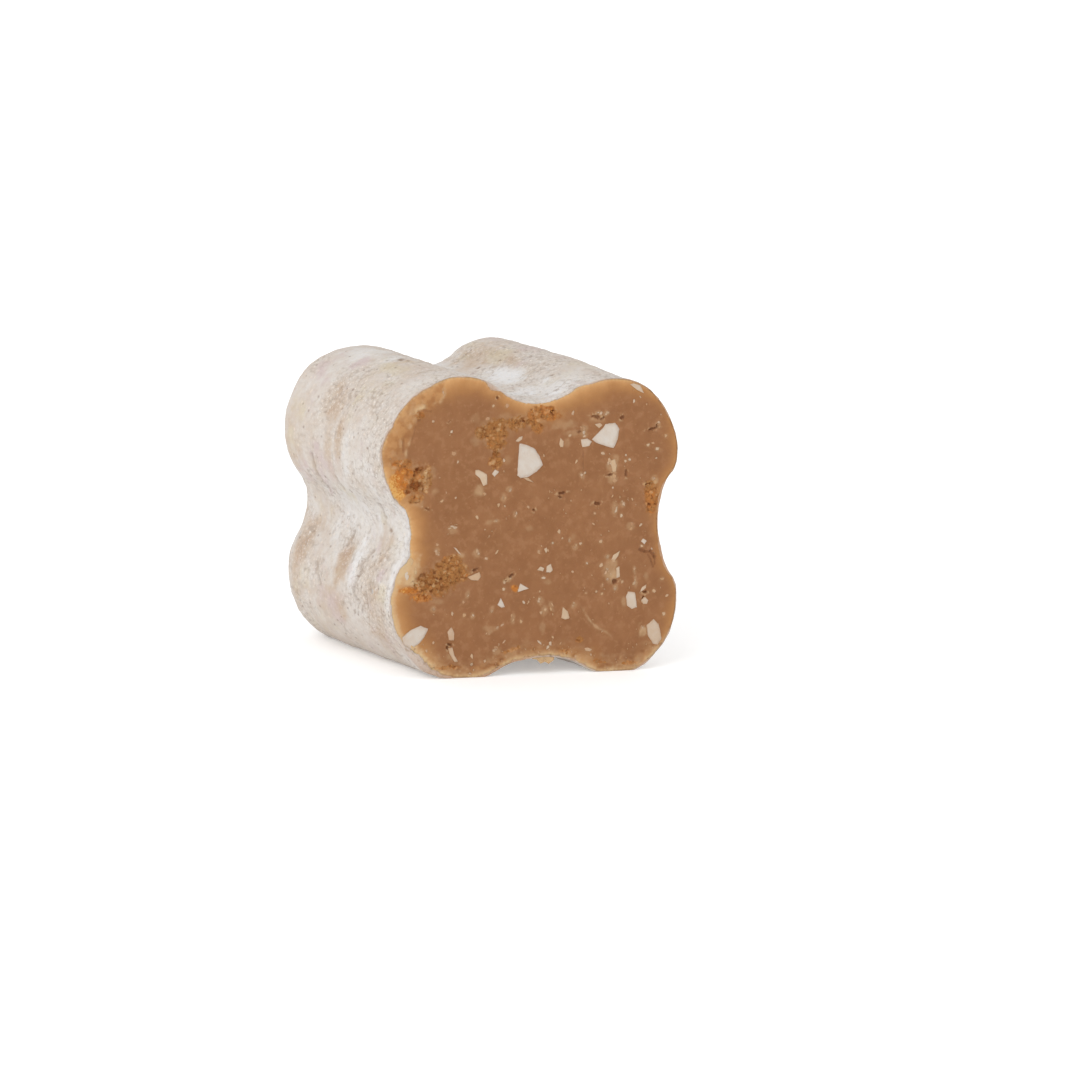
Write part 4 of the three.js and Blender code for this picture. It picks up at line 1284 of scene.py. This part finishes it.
def make_nuts():
    draws = np.random.default_rng(11)
    heap = Heap()
    for tone, warm, corners in NUTS:
        chip(heap, corners, tone, warm, draws)
    heap.build("nut_pieces", nut_look())


make_nuts()

LONE_FLECKS = 120
RIM_FLECKS = 50
FLECK_TRAILS = 9
TRAIL_STEP = 0.24
FLECK_LEAST, FLECK_SPREAD = 0.09, 0.17
INNER_EDGE = [tuple(p) for p in EDGE[::8]]


def inside_by(x, z):
    """How far a point of the cut plane lies inside the edge."""
    return edge_distance(np.array([x]), np.array([z]), INNER_EDGE)[0]


def in_crumb(x, z):
    return min(pocket_reach(x, z, row) for row in POCKETS) < 1.1


def turned_spot(x, z, turn, across, upward):
    """A spot beside x, z, given across and upward in a frame turned by so many degrees."""
    cos, sin = math.cos(math.radians(turn)), math.sin(math.radians(turn))
    return x + across * cos - upward * sin, z + across * sin + upward * cos


def small_chip(heap, x, z, width, height, turn, tone, draws):
    sides = int(draws.integers(5, 8))
    angles = (np.arange(sides) + draws.uniform(-0.3, 0.3, sides)) * 2 * math.pi / sides
    reach = draws.uniform(0.5, 1.1, sides)
    across, upward = reach * np.cos(angles) * width / 2, reach * np.sin(angles) * height / 2
    corners = tuple(zip(*turned_spot(x, z, turn, across, upward)))
    chip(heap, corners, tone, draws.uniform(0, 0.35), draws, 0.12)


def fleck_spots(draws):
    """Places of the finest flecks: alone, along the lower rim and in short trails."""
    low, high = EDGE.min(axis=0), EDGE.max(axis=0)
    spots = []
    while len(spots) < LONE_FLECKS:
        x, z = draws.uniform(low, high)
        crowding = 0.35 + 0.65 * step(-7.0, 6.0, x - 0.4 * (z - 9.0))
        if inside_by(x, z) > 0.4 and draws.random() < crowding:
            spots.append((x, z))
    while len(spots) < LONE_FLECKS + RIM_FLECKS:
        x, z = draws.uniform(low, (high[0], 3.0))
        if 0.15 < inside_by(x, z) < 1.0:
            spots.append((x, z))
    trails = 0
    while trails < FLECK_TRAILS:
        x, z = draws.uniform(low, high)
        if inside_by(x, z) < 1.2:
            continue
        heading = draws.uniform(0, math.pi)
        for k in range(int(draws.integers(3, 6))):
            dx, dz = draws.normal(0, 0.17, 2)
            run = TRAIL_STEP * k
            spots.append((x + run * math.cos(heading) + dx, z + run * math.sin(heading) + dz))
        trails += 1
    return spots


def make_flecks():
    draws = np.random.default_rng(13)
    heap = Heap()
    for x, z, width, height, turn in CHIPS:
        pieces = 1 if max(width, height) < BIG_CHIP else int(draws.integers(2, 4))
        for _ in range(pieces):
            away = 0.0 if pieces == 1 else 0.24
            dx, dz = draws.normal(0, 1, 2) * away * (width, height)
            part = 1.0 if pieces == 1 else draws.uniform(0.45, 0.8)
            tone = draws.uniform(0.1, 0.62)
            wide, tall = 1.25 * width * part, 1.25 * height * part
            small_chip(heap, x + dx, z + dz, wide, tall, turn + draws.normal(0, 20), tone, draws)
    for x, z in fleck_spots(draws):
        if in_crumb(x, z):
            continue
        size = FLECK_LEAST + FLECK_SPREAD * draws.random() ** 1.8
        tone = max(0.0, 3.2 * (size - FLECK_LEAST) + draws.normal(0, 0.08))
        turn = 90 + draws.normal(0, 40)
        small_chip(heap, x, z, size * draws.uniform(1, 2.2), size, turn, tone, draws)
    heap.build("nut_flecks", nut_look())


make_flecks()

# ---------------------------------------------------------------- biscuit crumb


def ball(rounds):
    """Vertices and triangles of a round-cornered ball of radius 1."""
    made = bmesh.new()
    bmesh.ops.create_icosphere(made, subdivisions=rounds, radius=1.0)
    points = np.array([tuple(v.co) for v in made.verts])
    faces = np.array([[v.index for v in face.verts] for face in made.faces])
    made.free()
    return points, faces


GRAINS_PER_AREA = 15
GRAIN_LEAST, GRAIN_SPREAD = 0.05, 0.09


def make_crumb():
    draws = np.random.default_rng(17)
    base, faces = ball(2)
    spots, sizes = [], []
    for px, pz, width, height, turn, amber, _ in POCKETS:
        crowding = 0.1 if amber > GOLDEN else 1.0
        for _ in range(max(2, int(width * height * GRAINS_PER_AREA * crowding))):
            away, angle = draws.random() ** 0.55 * 1.15, draws.uniform(0, 2 * math.pi)
            across, upward = away * math.cos(angle) * width / 2, away * math.sin(angle) * height / 2
            x, z = turned_spot(px, pz, turn, across, upward)
            size = GRAIN_LEAST + GRAIN_SPREAD * draws.random() ** 2
            if inside_by(x, z) > size + 0.1:
                spots.append((x, z))
                sizes.append(size)
    x, z = np.array(spots).T
    relief = FaceRelief(x, z)
    amber = relief.marks()["amber"]
    heap = Heap()
    for i, size in enumerate(sizes):
        grown = base * draws.uniform(0.65, 1.2, 3)
        grown = grown * (1 + 0.3 * noise(base + draws.uniform(0, 50, 3), 0.7, 71))[:, None]
        spin = np.array(Matrix.Rotation(draws.uniform(0, 6.28), 3, Vector(draws.normal(size=3))))
        grain = grown @ spin.T * size
        grain -= 0.35 * np.outer(grain @ CUT_NORMAL, CUT_NORMAL)
        one = slice(i, i + 1)
        centre = on_face(x[one], z[one], relief.depth[one] + size * draws.uniform(0.15, 0.6))
        heap.add(centre + grain, faces, tone=np.clip(amber[i] + draws.normal(0, 0.07), 0, 1))
    heap.build("biscuit_crumb", biscuit_look())


make_crumb()

# ---------------------------------------------------------------- torn lower rim

# Outline of the torn flap of paste and sugar that hangs from the lower rim.
FLAP = (
    (0.0, 1.42), (0.3, 1.08), (0.55, 1.04), (0.85, 0.74), (1.15, 0.86), (1.45, 0.7), (1.8, 0.95),
    (2.05, 1.35), (1.6, 1.7), (0.5, 1.75),
)


def make_flap():
    """The flap starts under the face and comes out below its rim."""
    heap = Heap()
    chip(heap, FLAP, 0.35, 0.3, np.random.default_rng(19))
    points = heap.points[0]
    flat = flat_points(points[:, 0], points[:, 2])
    bent = 0.06 + 0.5 * np.clip(points[:, 2] - 1.05, 0, 1) + 0.05 * fractal(flat, 0.4, 91, 3)
    heap.points[0] = points - CUT_NORMAL * bent[:, None]
    heap.marks = {"pale": [np.clip(0.85 + 0.3 * noise(flat, 0.4, 93), 0, 1)]}
    heap.build("torn_rim", face_look())


make_flap()

# ---------------------------------------------------------------- floor, light and camera

FLOOR_REACH, FLOOR_DROP = 1.5, 0.00002
CAMERA_AIM = Vector((0.00035, -0.00748, 0.00956))
CAMERA_DISTANCE = 0.38
CAMERA_AZIMUTH, CAMERA_ELEVATION, CAMERA_ROLL = (math.radians(a) for a in (-36.5, 12.1, 3.45))
LENS, SENSOR = 182.95, 36.0


def make_floor():
    mesh = bpy.data.meshes.new("floor")
    square = ((-1, -1), (1, -1), (1, 1), (-1, 1))
    corners = [(x * FLOOR_REACH, y * FLOOR_REACH, -FLOOR_DROP) for x, y in square]
    mesh.from_pydata(corners, [], [(0, 1, 2, 3)])
    floor = new_object("floor", mesh)
    look = Look("floor")
    paper = look.grain(look.spot(), 0.8, 2.0, 0.5)
    colour = look.mix(look.ramp(paper, 0.3, 0.7), (0.88, 0.88, 0.88, 1), (0.9, 0.9, 0.9, 1))
    mesh.materials.append(look.finish(
        Base_Color=colour, Specular_IOR_Level=0.2, Roughness=0.9,
        Emission_Strength=0.22, Emission_Color=(1, 1, 1, 1),
    ))


def make_light(name, place_at, aim, size, power):
    lamp = bpy.data.lights.new(name, "AREA")
    lamp.shape = "DISK"
    lamp.size = size
    lamp.energy = power
    holder = new_object(name, lamp)
    holder.location = place_at
    holder.rotation_euler = (Vector(aim) - Vector(place_at)).to_track_quat("-Z", "Y").to_euler()


def make_camera():
    """The viewpoint: from the front left, a little above, and tilted slightly."""
    azimuth, elevation, roll = CAMERA_AZIMUTH, CAMERA_ELEVATION, CAMERA_ROLL
    back = Vector((
        math.sin(azimuth) * math.cos(elevation),
        -math.cos(azimuth) * math.cos(elevation),
        math.sin(elevation),
    ))
    right = Vector((math.cos(azimuth), math.sin(azimuth), 0.0))
    up = back.cross(right)
    turned_right = right * math.cos(roll) + up * math.sin(roll)
    turned_up = up * math.cos(roll) - right * math.sin(roll)
    data = bpy.data.cameras.new("camera")
    data.lens = LENS
    data.sensor_width = SENSOR
    data.clip_start, data.clip_end = 0.01, 10.0
    camera = new_object("camera", data)
    rows = [
        (*axes, aim + axes[2] * CAMERA_DISTANCE)
        for *axes, aim in zip(turned_right, turned_up, back, CAMERA_AIM)
    ]
    camera.matrix_world = Matrix((*rows, (0, 0, 0, 1)))
    bpy.context.scene.camera = camera


def make_world():
    """Plain soft white all round, a little dimmer overhead."""
    world = bpy.data.worlds.new("studio")
    world.use_nodes = True
    nodes = Nodes(world.node_tree)
    sky = nodes.node("ShaderNodeTexCoord").outputs["Generated"]
    height = nodes.node("ShaderNodeSeparateXYZ", {0: sky}).outputs["Z"]
    dimming = {"Value": height, "From Min": 0.15, "From Max": 1.0, "To Min": 1.0, "To Max": 0.92}
    background = world.node_tree.nodes["Background"]
    nodes.feed(background.inputs["Strength"], nodes.node("ShaderNodeMapRange", dimming).outputs["Result"])
    nodes.feed(background.inputs["Color"], (1.0, 1.0, 1.0, 1.0))
    bpy.context.scene.world = world
    bpy.context.scene.view_settings.view_transform = "Standard"


make_floor()
make_light("key", place_at=(-0.55, -0.22, 0.45), aim=(0, 0, 0.01), size=0.5, power=1.9)
make_camera()
make_world()
